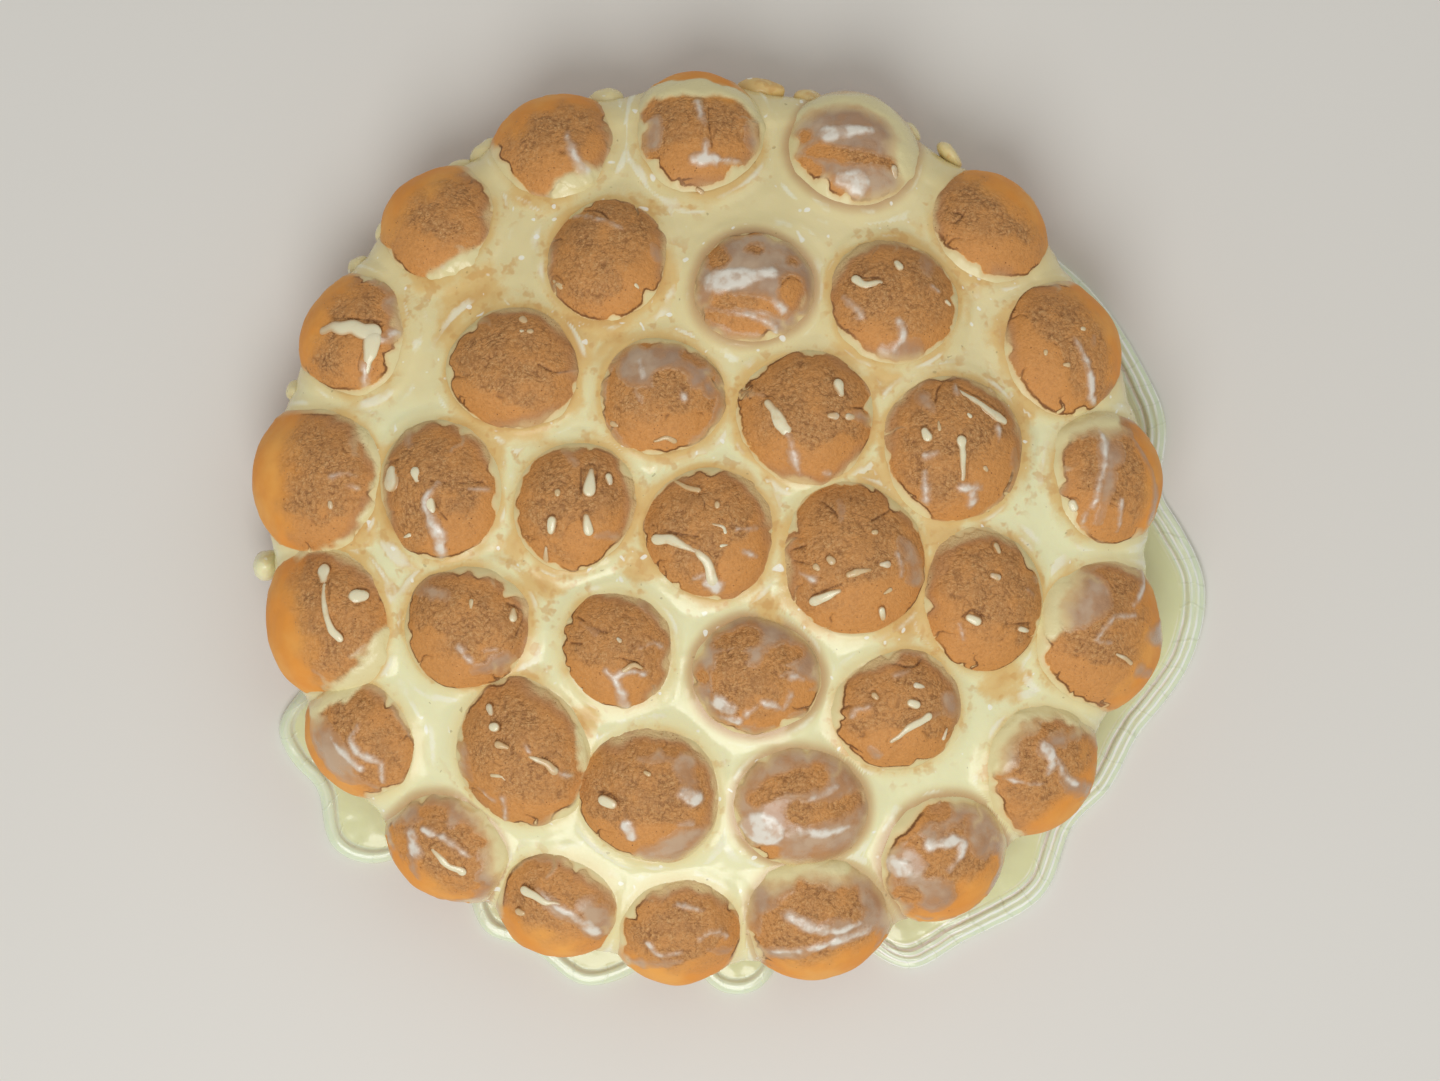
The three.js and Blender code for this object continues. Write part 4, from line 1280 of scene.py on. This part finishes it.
def makeLoafCore():
    shape = loafShape
    top, lift = shape["middleHeight"] - shape["coreDepth"], shape["coreLift"]
    turn = np.linspace(0, 2 * math.pi, shape["coreSides"], endpoint=False)
    rings = []
    for r, z in ([(r, z + lift) for r, z in shape["coreSide"]]
                 + [(r, top - domeDrop(min(r, shape["rimRadius"]))) for r in shape["coreTop"]]):
        wave = r * (1 + shape["coreWave"] * np.sin(shape["coreWaves"] * turn) * (r > 90))
        rings.append(polar(wave, turn, z))
    points, quads, fans = closedRings(rings, (0, 0, lift), (0, 0, top))
    plain = {"lowSide": 1.7, "aboveCream": 6.0, "film": -3.0, "thick": -3.0, "creamy": -5.0,
             "crustEdge": -3.0, "crackGap": 3.0}
    piece = meshObject("loafCore", points, [quads, fans],
                       {name: np.full(len(points), value) for name, value in plain.items()})
    return finishPiece(piece, crustMaterial, "crust", "bread")


# Cream between the buns and over the edge

# Where crust has soaked the cream tan: x, y, half size
soakedSpots = [
    (-62, 62, 12), (-34, 55, 9), (-69, 52, 7), (-24, 50, 6), (20, 17, 7), (38, 48, 8), (44, 38, 6),
    (43, 12, 7), (-44, -16, 8), (-52, -5, 6), (52, -27, 8), (78, -41, 8), (-20, 84, 6), (60, -1, 7),
    (6, 12, 6), (-18, -12, 6), (-30, 20, 6), (16, -22, 5), (-33, -52, 5), (84, 31, 6),
]


def backShadeShare(points):
    # painted shade: the cream is darker and browner towards the back
    return smoothStep(5.0, 60.0, points[:, 1])


def creamProfile():
    # section of the sheet from the middle, over the rim and down: length along it, radius, height and tilt
    rim, height, rimReach = loafShape["rimRadius"], creamShape["height"], creamShape["rimReach"]
    rimTilt, rimZ = float(domeTilt(rim)), loafShape["middleHeight"] - loafShape["rimDrop"]
    foot = np.linspace(0, rim, 300)
    tilt = domeTilt(foot)
    turn = np.linspace(rimTilt, math.pi / 2, 40)[1:]
    reach = height + (rimReach - height) * (turn - rimTilt) / (math.pi / 2 - rimTilt)
    down = np.linspace(rimZ, creamShape["foot"], 40)[1:]
    draw = creamShape["footDraw"] * ((rimZ - down) / rimZ) ** creamShape["footPower"]
    dome = loafShape["middleHeight"] - domeDrop(foot) + height * np.cos(tilt)
    radius = np.concatenate([foot + height * np.sin(tilt), rim + reach * np.sin(turn), rim + rimReach - draw])
    z = np.concatenate([dome, rimZ + reach * np.cos(turn), down])
    normal = np.concatenate([tilt, turn, np.full(len(down), math.pi / 2 + 0.3)])
    return pathLengths(np.column_stack([radius, z])), radius, z, normal


def makeCream():
    along, radius, z, normal = creamProfile()
    end, cells = along[-1], creamShape["cells"]
    share, bearing = diskGrid(cells)
    at = share * end
    r, up, tilt = (np.interp(at, along, values) for values in (radius, z, normal))
    onTop = smoothStep(*(end - band for band in creamShape["topBand"]), at)
    footWave = creamShape["footWave"] * np.sin(creamShape["footWaves"] * bearing)
    footWave = footWave + creamShape["footRagged"] * ringNoise(bearing, 60, 71)
    up = up + footWave * (1 - onTop) * smoothStep(end - creamShape["footBand"], end, at)
    points, normals = polar(r, bearing, up), polar(np.sin(tilt), bearing, np.cos(tilt))
    points = points + normals * (creamShape["swell"] * creamWave(points[:, 0], points[:, 1]) * onTop)[:, None]

    # the runs over the edge hang lowest in the middle of each groove
    near = np.maximum(gapToLoaf(points)[0], 0)
    lower = smoothStep(end - creamShape["hangBand"], end, at)
    points[:, 2] += creamShape["hang"] * np.exp(-near / creamShape["hangSize"]) * lower

    # it climbs each bun, lies lowest between them, and has fine folds that point away from them
    gap, nearest = gapToLoaf(points)
    near = np.maximum(gap, 0)
    middles = np.array([bun["middle"] for bun in buns.values()])[nearest]
    turned = np.arctan2(points[:, 1] - middles[:, 1], points[:, 0] - middles[:, 0])
    streak = smoothNoise(polar(2.6, turned, near / 1.3 + 13.0 * nearest), 1.0, 67) * smoothStep(8.0, 3.0, gap)
    climb = creamShape["fillet"] * np.exp(-near / creamShape["filletSize"])
    dish = creamShape["dish"] * (1 - np.exp(-near / 3.0))
    waves = 0.12 * layeredNoise(points, 5.0, 61) + 0.25 * layeredNoise(points, 14.0, 62)
    rings = creamShape["ring"] * np.exp(-((gap - creamShape["ringGap"]) / creamShape["ringSize"]) ** 2)
    rings = rings * (0.6 + 0.5 * smoothNoise(points, 18.0, 63))
    folds = creamShape["folds"] * streak * smoothStep(0.5, 1.5, gap)
    points = points + normals * (climb - dish + waves + rings + folds)[:, None]
    gap, nearest = gapToLoaf(points)

    milk = np.array([bunLooks[name]["milk"] for name in buns])[nearest]
    soaked = (0.7 + 0.7 * layeredNoise(points, 13.0, 66)) * np.exp(-np.maximum(gap, 0) / 3.4) * (milk < 0.3)
    soaked = soaked * (0.4 + 0.6 * smoothStep(-60.0, -10.0, points[:, 1]))
    for x, y, size in soakedSpots:
        away = np.hypot(points[:, 0] - x, points[:, 1] - y) / size
        soaked = np.maximum(soaked, 1.15 - away * 0.8 + 0.25 * layeredNoise(points, 5.0, 68))
    soaked = soaked * smoothStep(112, 98, np.hypot(points[:, 0], points[:, 1]))

    faces = gridFaces(cells + 1, cells + 1)
    faces = faces[(gap[faces] > -creamShape["overlap"]).any(axis=1)]
    under = points - normals * creamShape["thickness"]
    attributes = {"depth": np.clip(gap, -1, 6), "soaked": soaked, "milky": smoothStep(0.2, 0.5, milk),
                  "streak": streak, "baked": backShadeShare(points)}
    piece = meshObject("valleyCream", *thickened(points, faces, under, attributes))
    return finishPiece(piece, creamMaterial, "cream", "cream_net")


# Lumps where the cream has run over the edge: middle, half length, width and height, turn, and how tan
creamLumps = [((-123, -11, 16), 4.2, 4.4, 7.0, 5, 0.1), ((14, 120, 25), 6.6, 3.0, 3.4, -8, 0.75),
              ((-29, 117, 23), 5.4, 3.6, 4.6, 14, 0.1), ((27, 117, 25), 4.4, 3.0, 4.0, -14, 0.6),
              ((54, 108, 24), 4.4, 2.8, 4.5, -27, 0.3), ((66, 102, 24), 4.6, 2.2, 4.0, -45, 0.4),
              ((-61.5, 103, 21), 5.2, 3.6, 5.0, 31, 0.1), ((-69, 97.5, 21.5), 4.6, 3.6, 5.0, 35, 0.1),
              ((-88.5, 81.5, 22), 4.4, 3.2, 5.0, 47, 0.1), ((-97, 71.5, 21.5), 3.6, 3.0, 4.6, 54, 0.1),
              ((-114, 37, 22), 3.0, 3.0, 5.0, 72, 0.1)]

lumpShape = {
    "sides": 28,
    "rings": 16,
    "lump": 0.5,            # height of its unevenness
    "lumpSize": 4.0,
    "depth": 3.0,           # how deep its cream looks
}


def makeLumps():
    turn = np.linspace(0, 2 * math.pi, lumpShape["sides"], endpoint=False)
    rings = [polar(math.cos(tall), turn, math.sin(tall))
             for tall in np.linspace(-math.pi / 2, math.pi / 2, lumpShape["rings"])[1:-1]]
    ball, quads, fans = closedRings(rings, (0, 0, -1), (0, 0, 1))
    points, tones = [], []
    for i, (middle, long, wide, high, degrees, tone) in enumerate(creamLumps):
        cosine, sine = math.cos(math.radians(degrees)), math.sin(math.radians(degrees))
        shape = ball * (long, wide, high)
        uneven = lumpShape["lump"] * layeredNoise(shape + 30 * i, lumpShape["lumpSize"], 80 + i)
        shape = shape + ball * uneven[:, None]
        points.append(middle + shape @ np.array([[cosine, sine, 0], [-sine, cosine, 0], [0, 0, 1]]))
        tones.append(np.full(len(ball), tone))
    points = np.vstack(points)
    starts = np.arange(len(creamLumps))[:, None, None] * len(ball)
    repeated = [(faces + starts).reshape(-1, faces.shape[1]) for faces in (quads, fans)]
    piece = meshObject("edgeLumps", points, repeated, {
        "depth": np.full(len(points), lumpShape["depth"]), "soaked": np.concatenate(tones),
        "baked": backShadeShare(points)})
    return finishPiece(piece, creamMaterial, "cream", "cream_net")


# Pools on the ground: a flat middle, a thick rounded rim with folds along it

poolShape = {
    "height": 4.4,
    "inner": 100.0,         # radius where a pool begins, under the loaf
    "alongCells": 3,        # cells per degree
    "acrossCells": 70,
    "rimWidth": 3.6,        # half width of the rounded rim
    "body": 2.9,            # height of the flat middle
    "ridgeStep": 9.0,       # mm from one dent across the rim to the next
    "dent": 0.1,
    "foldHeight": 0.26,
    "foldTurn": 2.7,        # radians per mm across the folds
    "folded": [1.0, 0.2, 0.2, 0.2],     # how strongly each pool's rim is folded, in the order below
    "leastHeight": 0.02,
}

# Outer edges of the pools, anticlockwise: bearing in degrees and reach from the loaf's middle
poolEdges = {
    "cream_pool_right": [(-71, 124), (-66, 138), (-58, 138.5), (-48, 141.5), (-40, 134), (-33, 136),
                         (-26, 135.5), (-16, 142), (-7, 142), (0, 134), (5, 128.5), (13, 133), (21, 131),
                         (32, 127.5), (42, 122)],
    "cream_pool_left": [(201, 122), (204.5, 135), (209.5, 136.5), (214, 134.5), (220, 141), (225, 136),
                        (228, 124)],
    "cream_pool_front_left": [(236, 124), (241, 132), (247, 130.5), (254, 135.5), (259, 131), (262.5, 124)],
    "cream_pool_front": [(267.5, 124), (270.5, 131.5), (274, 133.5), (277, 131), (279.5, 124)],
}


def makePool(number, node, edges):
    bearings, reaches = roundedPath(edges, 16).T
    count = int((bearings[-1] - bearings[0]) * poolShape["alongCells"]) + 1
    degrees = np.linspace(bearings[0], bearings[-1], count)
    reach = np.interp(degrees, bearings, reaches)
    kernel = np.hanning(15) / np.hanning(15).sum()
    reach = np.convolve(np.pad(reach, 7, mode="edge"), kernel, mode="valid")
    bearing = np.radians(degrees)
    slope = np.gradient(reach, bearing) / reach
    squeeze = np.cos(np.arctan(slope))          # turns a step along the radius into one across the edge
    cells, inner, least = (poolShape[key] for key in ("acrossCells", "inner", "leastHeight"))
    share = np.linspace(0, 1, cells + 1) ** 0.7
    r = inner + (reach[:, None] - inner) * share[None, :]
    away = (reach[:, None] - r) * squeeze[:, None]
    endAway = np.minimum(bearing - bearing[0], bearing[-1] - bearing)[:, None] * r
    flat = polar(r, bearing[:, None], 7.0 * number)
    folded = poolShape["folded"][number]
    width = poolShape["rimWidth"] * (0.9 + 0.45 * folded)
    wander = layeredNoise(flat, 12.0, 40 + number)
    bend = np.clip(away / (width * 2), 0, 1)
    steep = np.sqrt(np.clip(1 - np.abs(2 * bend - 1) ** 3.5, 0, 1))
    rim = np.where(bend < 0.5, steep, smoothStep(1.0, 0.5, bend))
    body = poolShape["body"] * np.clip(1 - np.exp(-away / 1.4), 0, 1) * (1 + 0.12 * wander)
    arc = pathLengths(flat[:, -1, :2])[:, None]
    folds = poolShape["foldHeight"] * folded * np.sin(away * poolShape["foldTurn"] + wander * 1.6) * rim
    across = (arc / poolShape["ridgeStep"] + wander * 0.7) % 1 - 0.5
    dents = -poolShape["dent"] * np.exp(-across ** 2 / 0.004) * rim * folded
    height = np.maximum(body, rim * poolShape["height"] * (0.84 + 0.06 * wander)) + folds + dents
    height = np.clip(height, least, poolShape["height"]) * np.sqrt(np.clip(endAway / 5.0, 0, 1))
    height[:, -1] = least
    points, under = (np.dstack([flat[:, :, :2], level]).reshape(-1, 3) for level in (height, 0 * height))
    faces = gridFaces(count, cells + 1)[:, ::-1]
    attributes = {"rim": smoothStep(0.15, 0.75, rim).ravel(), "fromEdge": away.ravel(),
                  "alongEdge": (arc + 0 * away).ravel(), "folded": np.full(away.size, folded)}
    name = "pool" + "".join(word.capitalize() for word in node.split("_")[2:])
    piece = meshObject(name, *thickened(points, faces, under, attributes))
    return finishPiece(piece, poolMaterial, "cream", node)


# Thick drizzle: round strokes along paths, sunk so that a low bead shows

drizzleShape = {
    "sides": 14,
    "step": 0.35,       # mm between the points of a stroke
    "height": 0.7,      # how far a wide bead stands above the crust
    "lineFrom": 1.8,    # strokes wider than this get a painted shadow line on the crust
    "lineShift": 0.35,
    "wideFrom": 2.2,    # strokes wider than this are pale all over
    "wideTone": 0.25,
    "seed": 200,
}

# Thick drizzle: bun, width and path from the crown's middle
drizzleStrokes = [
    ("B4", 2.6, [(-11, 4.5), (-9, 3), (-5, 3)]),
    ("C1", 4.6, [(-5, 0), (2, 0), (9, -1)]),
    ("C1", 4.0, [(9, -3), (8.5, -7), (7, -11)]),
    ("C4", 3.6, [(-10.5, 3), (-8.5, 0), (-6, -4)]),
    ("C4", 2.8, [(8, 8), (8.5, 5.5)]),
    ("C5", 2.6, [(1, 14), (7, 10.5), (13, 7)]),
    ("C5", 2.4, [(0.5, 1), (1, -4), (1, -9)]),
    ("C5", 2.6, [(-9, 3.5), (-8.5, 2)]),
    ("C6", 2.6, [(-13, -7), (-12.5, -8)]),
    ("D2", 4.4, [(-12, 4.5), (-12, 2)]),
    ("D2", 3.8, [(-1, -3.5), (0.5, -9), (1, -14)]),
    ("D3", 3.2, [(5, 9), (4.5, 4)]),
    ("D3", 2.7, [(-5, -4), (-5.5, -6.5)]),
    ("D3", 2.7, [(4, -3), (4.5, -6.5)]),
    ("D4", 2.8, [(-13.5, -1.5), (-9.5, -2), (-4, -4.5)]),
    ("D4", 3.0, [(-4, -4.5), (-0.5, -7.5), (1, -12)]),
    ("D5", 2.4, [(-10.5, -10.5), (-7.5, -9), (-4.5, -8)]),
    ("D6", 2.7, [(-6, -4), (-4, -5)]),
    ("E1", 3.4, [(3, 14.5), (3.5, 12.5)]),
    ("E1", 2.4, [(4, 11), (5.5, 4), (8.5, -3)]),
    ("E1", 3.4, [(12.5, 8), (13.5, 8)]),
    ("E5", 2.4, [(-2.5, -7.5), (1.5, -3.5), (7, -1)]),
    ("F3", 3.5, [(-12, 0), (-10, -0.5)]),
    ("G1", 2.6, [(-0.5, 3), (2.5, -0.5), (6.5, -3.5)]),
    ("G2", 2.4, [(-7.5, 7.5), (-2, 5.5), (2, 4.5)]),
]

# Small drops and thin strokes, given the same way
drizzleDrops = [
    ("A2", 1.4, [(0, -18.5), (1, -19)]), ("A3", 2.1, [(9.5, -8.5), (10, -10)]),
    ("B2", 2.0, [(-14, -6), (-12, -8)]), ("B2", 1.4, [(8, -8.5), (8.5, -9)]),
    ("B4", 2.3, [(0, 9), (0.5, 8)]), ("B4", 1.6, [(13.5, -0.5), (14.5, -1)]),
    ("B5", 1.3, [(1.5, 3), (2, 3)]), ("B5", 1.2, [(-9, -3.5), (-9, -4)]),
    ("B5", 1.5, [(-4, -7), (-3, -7)]), ("C2", 1.8, [(3, 12.5), (3.5, 12)]),
    ("C2", 1.5, [(5, 9), (5.5, 9)]), ("C2", 1.3, [(3, 9), (3.5, 9)]),
    ("C3", 1.4, [(-1, -11.5), (4, -11.5)]), ("C3", 1.6, [(-12, -7), (-11, -7.5)]),
    ("C4", 1.9, [(5.5, -0.5), (7, -0.5)]), ("C4", 1.8, [(10.5, -0.5), (11.5, -0.5)]),
    ("C5", 1.1, [(-5.5, 6), (-5.5, 4)]), ("C5", 1.5, [(10.5, 15.5), (11, 15)]),
    ("C5", 1.2, [(2.5, 8), (3, 7.5)]), ("C5", 1.3, [(7, -6), (7.5, -6.5)]),
    ("D1", 1.6, [(9.5, -7), (9.5, -8)]), ("D2", 2.4, [(-4.5, 4.5), (-4, 2.5)]),
    ("D2", 1.2, [(-9, -12.5), (-7, -12)]), ("D3", 1.9, [(9.5, 7.5), (10, 6)]),
    ("D3", 1.4, [(-7, -11), (-7, -14)]), ("D3", 1.4, [(-3.5, 3.5), (-3.5, 3)]),
    ("D4", 1.5, [(-9, 13), (-5.5, 11.5), (-3, 11)]), ("D4", 1.7, [(2, 7.5), (2, 7)]),
    ("D4", 1.2, [(1, 2.5), (3.5, 1.5), (4, 0)]), ("D4", 1.2, [(3, -3.5), (5, -3)]),
    ("D5", 2.2, [(-7, 0.5), (-6.5, 0)]), ("D5", 1.5, [(-10.5, -1.5), (-10, -2)]),
    ("D5", 1.5, [(4.5, 7.5), (5, 7.5)]), ("D5", 2.2, [(-2, -3.5), (1, -3), (3.5, -2.5)]),
    ("D5", 2.0, [(6.5, -1), (8, -1)]), ("D5", 1.9, [(7, -13), (7.5, -15)]),
    ("D5", 1.2, [(7.5, -8.5), (9, -7.5)]), ("D6", 2.1, [(2, 14.5), (2.5, 13)]),
    ("D6", 2.0, [(0, 7), (1.5, 6.5)]), ("D6", 2.0, [(8.5, -7.5), (11, -8)]),
    ("D7", 1.4, [(-0.5, -4), (4.5, -6.5)]), ("E2", 1.3, [(3, 7.5), (3, 6)]),
    ("E2", 2.2, [(13.5, 5), (13.5, 3)]), ("E3", 1.5, [(2.5, -4.5), (5, -3.5), (7, -4.5)]),
    ("E3", 1.2, [(1, 3.5), (1.5, 3)]), ("E5", 2.0, [(-7.5, 5), (-7, 4.5)]),
    ("E5", 2.7, [(2, 3), (3.5, 2.5)]), ("E5", 1.7, [(3.5, 7.5), (5.5, 7)]),
    ("E5", 1.2, [(13, -5), (12, -7.5)]), ("F2", 2.1, [(-7.5, 13), (-7, 12)]),
    ("F2", 2.3, [(-6, 8.5), (-5.5, 8.5)]), ("F2", 2.2, [(-4.5, 4), (-2, 3.5)]),
    ("F2", 2.1, [(4, 1), (8, -0.5), (10, -3)]), ("F2", 1.4, [(-6.5, -4.5), (-4, -4.5), (-3, -5.5)]),
    ("F3", 1.4, [(-1, 8.5), (0, 8)]), ("G2", 2.1, [(-9.5, 1), (-8.5, 1)]),
]


def makeDrizzleTree():
    maker, wires = newNodeTree("drizzleBead", {"Sides": "Int", "Cream": "Material"})
    curve = maker.add("GeometryNodeMeshToCurve", None, {"Mesh": wires["Geometry"]})
    ring = maker.add("GeometryNodeCurvePrimitiveCircle", None, {"Resolution": wires["Sides"], "Radius": 1.0})
    bead = maker.add("GeometryNodeCurveToMesh", None,
                     {"Curve": curve, "Profile Curve": ring, "Scale": maker.named("beadRadius", "FLOAT"),
                      "Fill Caps": True})
    closeTree(maker, bead, wires["Cream"])
    return maker.tree


def strokeSpine(bun, width, path, seed):
    path = roundedPath(path, 16)
    lengths = pathLengths(path)
    a = strokeWidths(path, width, seed)
    total = lengths[-1] + a[0] + a[-1]
    count = max(12, int(total / drizzleShape["step"]))
    at = total * (1 - np.cos(np.linspace(0, math.pi, count))) / 2 - a[0]
    first, last = path[1] - path[0], path[-1] - path[-2]
    first, last = first / np.linalg.norm(first), last / np.linalg.norm(last)
    spine = np.column_stack([np.interp(at, lengths, path[:, i]) for i in range(2)])
    spine = spine + np.outer(np.minimum(at, 0), first) + np.outer(np.maximum(at - lengths[-1], 0), last)
    end = np.maximum(-at / a[0], (at - lengths[-1]) / a[-1])
    taper = np.sqrt(np.clip(1 - np.clip(end, 0, 1) ** 2, 0.002, 1))
    radius = np.interp(at, lengths, a) * taper
    wander = np.column_stack([at, np.full(count, seed), np.zeros(count)])
    chordX, chordY = path[-1] - path[0]
    side = np.array([-chordY, chordX]) / math.hypot(chordX, chordY) * min(0.5, lengths[-1] / 10)
    spine = spine + side * smoothNoise(wander, 3.0, seed + 7)[:, None]
    crown = crownHeight(bun, spine[:, 0], spine[:, 1])
    return bun["middle"] + np.column_stack([spine, crown]) @ bun["axes"], radius


def flattenBeads(mesh, strokes):
    # presses each round stroke down to a low bead on its bun
    points = meshPoints(mesh)
    owner = np.rint(readValues(mesh.attributes["stroke"].data, "value")).astype(int)
    rise = np.zeros(len(points))
    for i, (name, width, _) in enumerate(strokes):
        chosen, bun = owner == i, buns[name]
        x, y, z = localPlaces(bun, points[chosen]).T
        skin = crownHeight(bun, x, y)
        share = min(drizzleShape["height"], 0.35 * width) / (width / 2)
        rise[chosen] = (z - skin) / (0.5 * width)
        z = skin + 0.2 + (z - skin) * share
        points[chosen] = bun["middle"] + np.column_stack([x, y, z]) @ bun["axes"]
    putPoints(mesh, points)
    setAttributes(mesh, {"rise": rise})


def makeDrizzle():
    strokes, points, beads, edges, count = drizzleStrokes + drizzleDrops, [], [], [], 0
    for i, (name, width, path) in enumerate(strokes):
        places, radius = strokeSpine(buns[name], width, path, drizzleShape["seed"] + i)
        tone = 0.45 + 0.35 * (hashCells(np.array([i, 3, 5]), 7) + 1)
        if width > drizzleShape["wideFrom"]:
            tone = drizzleShape["wideTone"]
        every = np.ones(len(places))
        points.append(places)
        beads.append({"beadRadius": radius * mm, "stroke": i * every, "tone": tone * every})
        edges += [(count + j, count + j + 1) for j in range(len(places) - 1)]
        count += len(places)
    piece = meshObject("drizzle", np.vstack(points), [], joined(beads))
    piece.data.edges.add(len(edges))
    piece.data.edges.foreach_set("vertices", np.array(edges, np.int32).ravel())
    piece.data.update()
    applyTree(piece, makeDrizzleTree(), {"Sides": drizzleShape["sides"], "Cream": drizzleMaterial})
    flattenBeads(piece.data, strokes)
    return finishPiece(piece, drizzleMaterial, "cream", "bread")


# Loose cinnamon grains on the dry crust

grainShape = {
    "density": 0.16e6,      # per square metre of dry crust
    "size": 0.42,           # mm
    "sizes": (0.45, 1.0),   # least and most, as a share of the size
    "stretch": (0.7, 1.5),
    "flat": 0.8,
    "seed": 5,
}


def makeGrainTree():
    maker, wires = newNodeTree("scatteredGrains", {
        "Density": "Float", "Size": "Float", "Seed": "Int", "Grain": "Material"})
    density = maker.named("dry", "FLOAT") * wires["Density"]
    spots = maker.add("GeometryNodeDistributePointsOnFaces", None,
                      {"Mesh": wires["Geometry"], "Density": density, "Seed": wires["Seed"]})
    ball = maker.add("GeometryNodeMeshIcoSphere", None, {"Radius": 0.5, "Subdivisions": 1})
    size, stretch = (
        maker.add("FunctionNodeRandomValue", {"data_type": "FLOAT"}, {2: low, 3: high, "Seed": seed}, 1)
        for (low, high), seed in ((grainShape["sizes"], wires["Seed"]), (grainShape["stretch"], 8)))
    scaled = size * wires["Size"]
    shape = maker.add("ShaderNodeCombineXYZ", None,
                      {0: scaled * stretch, 1: scaled, 2: scaled * grainShape["flat"]})
    turn = maker.add("FunctionNodeRandomValue", {"data_type": "FLOAT_VECTOR"},
                     {0: (-3.0, -3.0, -3.0), 1: (3.0, 3.0, 3.0), "Seed": 9}, 0)
    grains = maker.add("GeometryNodeInstanceOnPoints", None,
                       {"Points": spots, "Instance": ball, "Rotation": turn, "Scale": shape})
    closeTree(maker, grains, wires["Grain"])
    return maker.tree


def makeGrains():
    points, faces, dry, count = [], [], [], 0
    for row in bunRows:
        mesh = bpy.data.objects["bunRow" + row].data
        part = readValues(mesh.attributes["dry"].data, "value")
        corners = readValues(mesh.loops, "vertex_index", kind=np.int32)
        sizes = readValues(mesh.polygons, "loop_total", kind=np.int32)
        starts = np.cumsum(sizes) - sizes
        quads = np.column_stack([corners[starts[sizes == 4] + i] for i in range(4)])
        quads = quads[(part[quads] > 0.2).all(axis=1)]
        points.append(meshPoints(mesh))
        faces.append(quads + count)
        dry.append(part)
        count += len(part)
    piece = meshObject("cinnamonGrains", np.vstack(points), [np.vstack(faces)], {"dry": np.concatenate(dry)})
    applyTree(piece, makeGrainTree(), {"Density": grainShape["density"], "Size": grainShape["size"] * mm,
                                       "Seed": grainShape["seed"], "Grain": grainMaterial})
    return finishPiece(piece, grainMaterial, "crust")


# Floor, light and camera

camera = {
    "place": (2.75, -4.0, 750.0),   # mm, straight above the loaf
    "lens": 65.9,
    "sensor": 36.0,
    "near": 0.01,                   # metres
}

floor = {
    "half": 1.2,            # metres
    "dark": shade(222, 219, 212),
    "pale": shade(228, 226, 220),
}

# Places and sizes of the lights in metres
studio = {
    "key": {"place": (-0.12, -0.62, 0.95), "size": 0.8, "power": 6.6},
    "fill": {"place": (0.5, 0.55, 1.0), "size": 1.0, "power": 1.2},
    "aim": (0, 0, 0.04),
    "world": 0.42,
    "sky": (1.0, 0.99, 0.97, 1.0),
}


def makeFloor():
    half = floor["half"] / mm
    corners = [(-half, -half, 0), (half, -half, 0), (half, half, 0), (-half, half, 0)]
    piece = meshObject("floor", corners, [[[0, 1, 2, 3]]])
    material, maker, shader = newMaterial("paleFloor", {"Specular IOR Level": 0.2})
    tone = maker.noise(maker.place(), 3.0, 2.0)
    color = maker.blend(tone, floor["dark"], floor["pale"])
    feed(maker, shader, {"Base Color": color, "Roughness": 0.75 + tone * 0.1})
    piece.data.materials.append(material)


def makeLight(name, values):
    light = bpy.data.lights.new(name, "AREA")
    light.shape = "DISK"
    light.size, light.energy = values["size"], values["power"]
    lamp = bpy.data.objects.new(name, light)
    lamp.location = values["place"]
    aim = Vector(studio["aim"]) - Vector(values["place"])
    lamp.rotation_euler = aim.to_track_quat("-Z", "Y").to_euler()
    bpy.context.scene.collection.objects.link(lamp)


def makeCamera():
    lens = bpy.data.cameras.new("camera")
    lens.lens, lens.sensor_width, lens.sensor_fit = camera["lens"], camera["sensor"], "HORIZONTAL"
    lens.clip_start = camera["near"]
    holder = bpy.data.objects.new("camera", lens)
    holder.location = Vector(camera["place"]) * mm
    bpy.context.scene.collection.objects.link(holder)
    bpy.context.scene.camera = holder


def makeSky():
    world = bpy.context.scene.world or bpy.data.worlds.new("studio")
    bpy.context.scene.world = world
    world.use_nodes = True
    sky = world.node_tree.nodes["Background"]
    sky.inputs["Color"].default_value = studio["sky"]
    sky.inputs["Strength"].default_value = studio["world"]
    bpy.context.scene.view_settings.view_transform = "Standard"


# Every piece in turn

makeBunRows()
makeLoafCore()
print("core")
makeCream()
makeLumps()
print("cream")
for number, (node, edges) in enumerate(poolEdges.items()):
    makePool(number, node, edges)
print("pools")
makeDrizzle()
print("drizzle")
makeGrains()
print("grains")

makeFloor()
makeLight("keyLight", studio["key"])
makeLight("fillLight", studio["fill"])
makeCamera()
makeSky()
print("stage and camera")
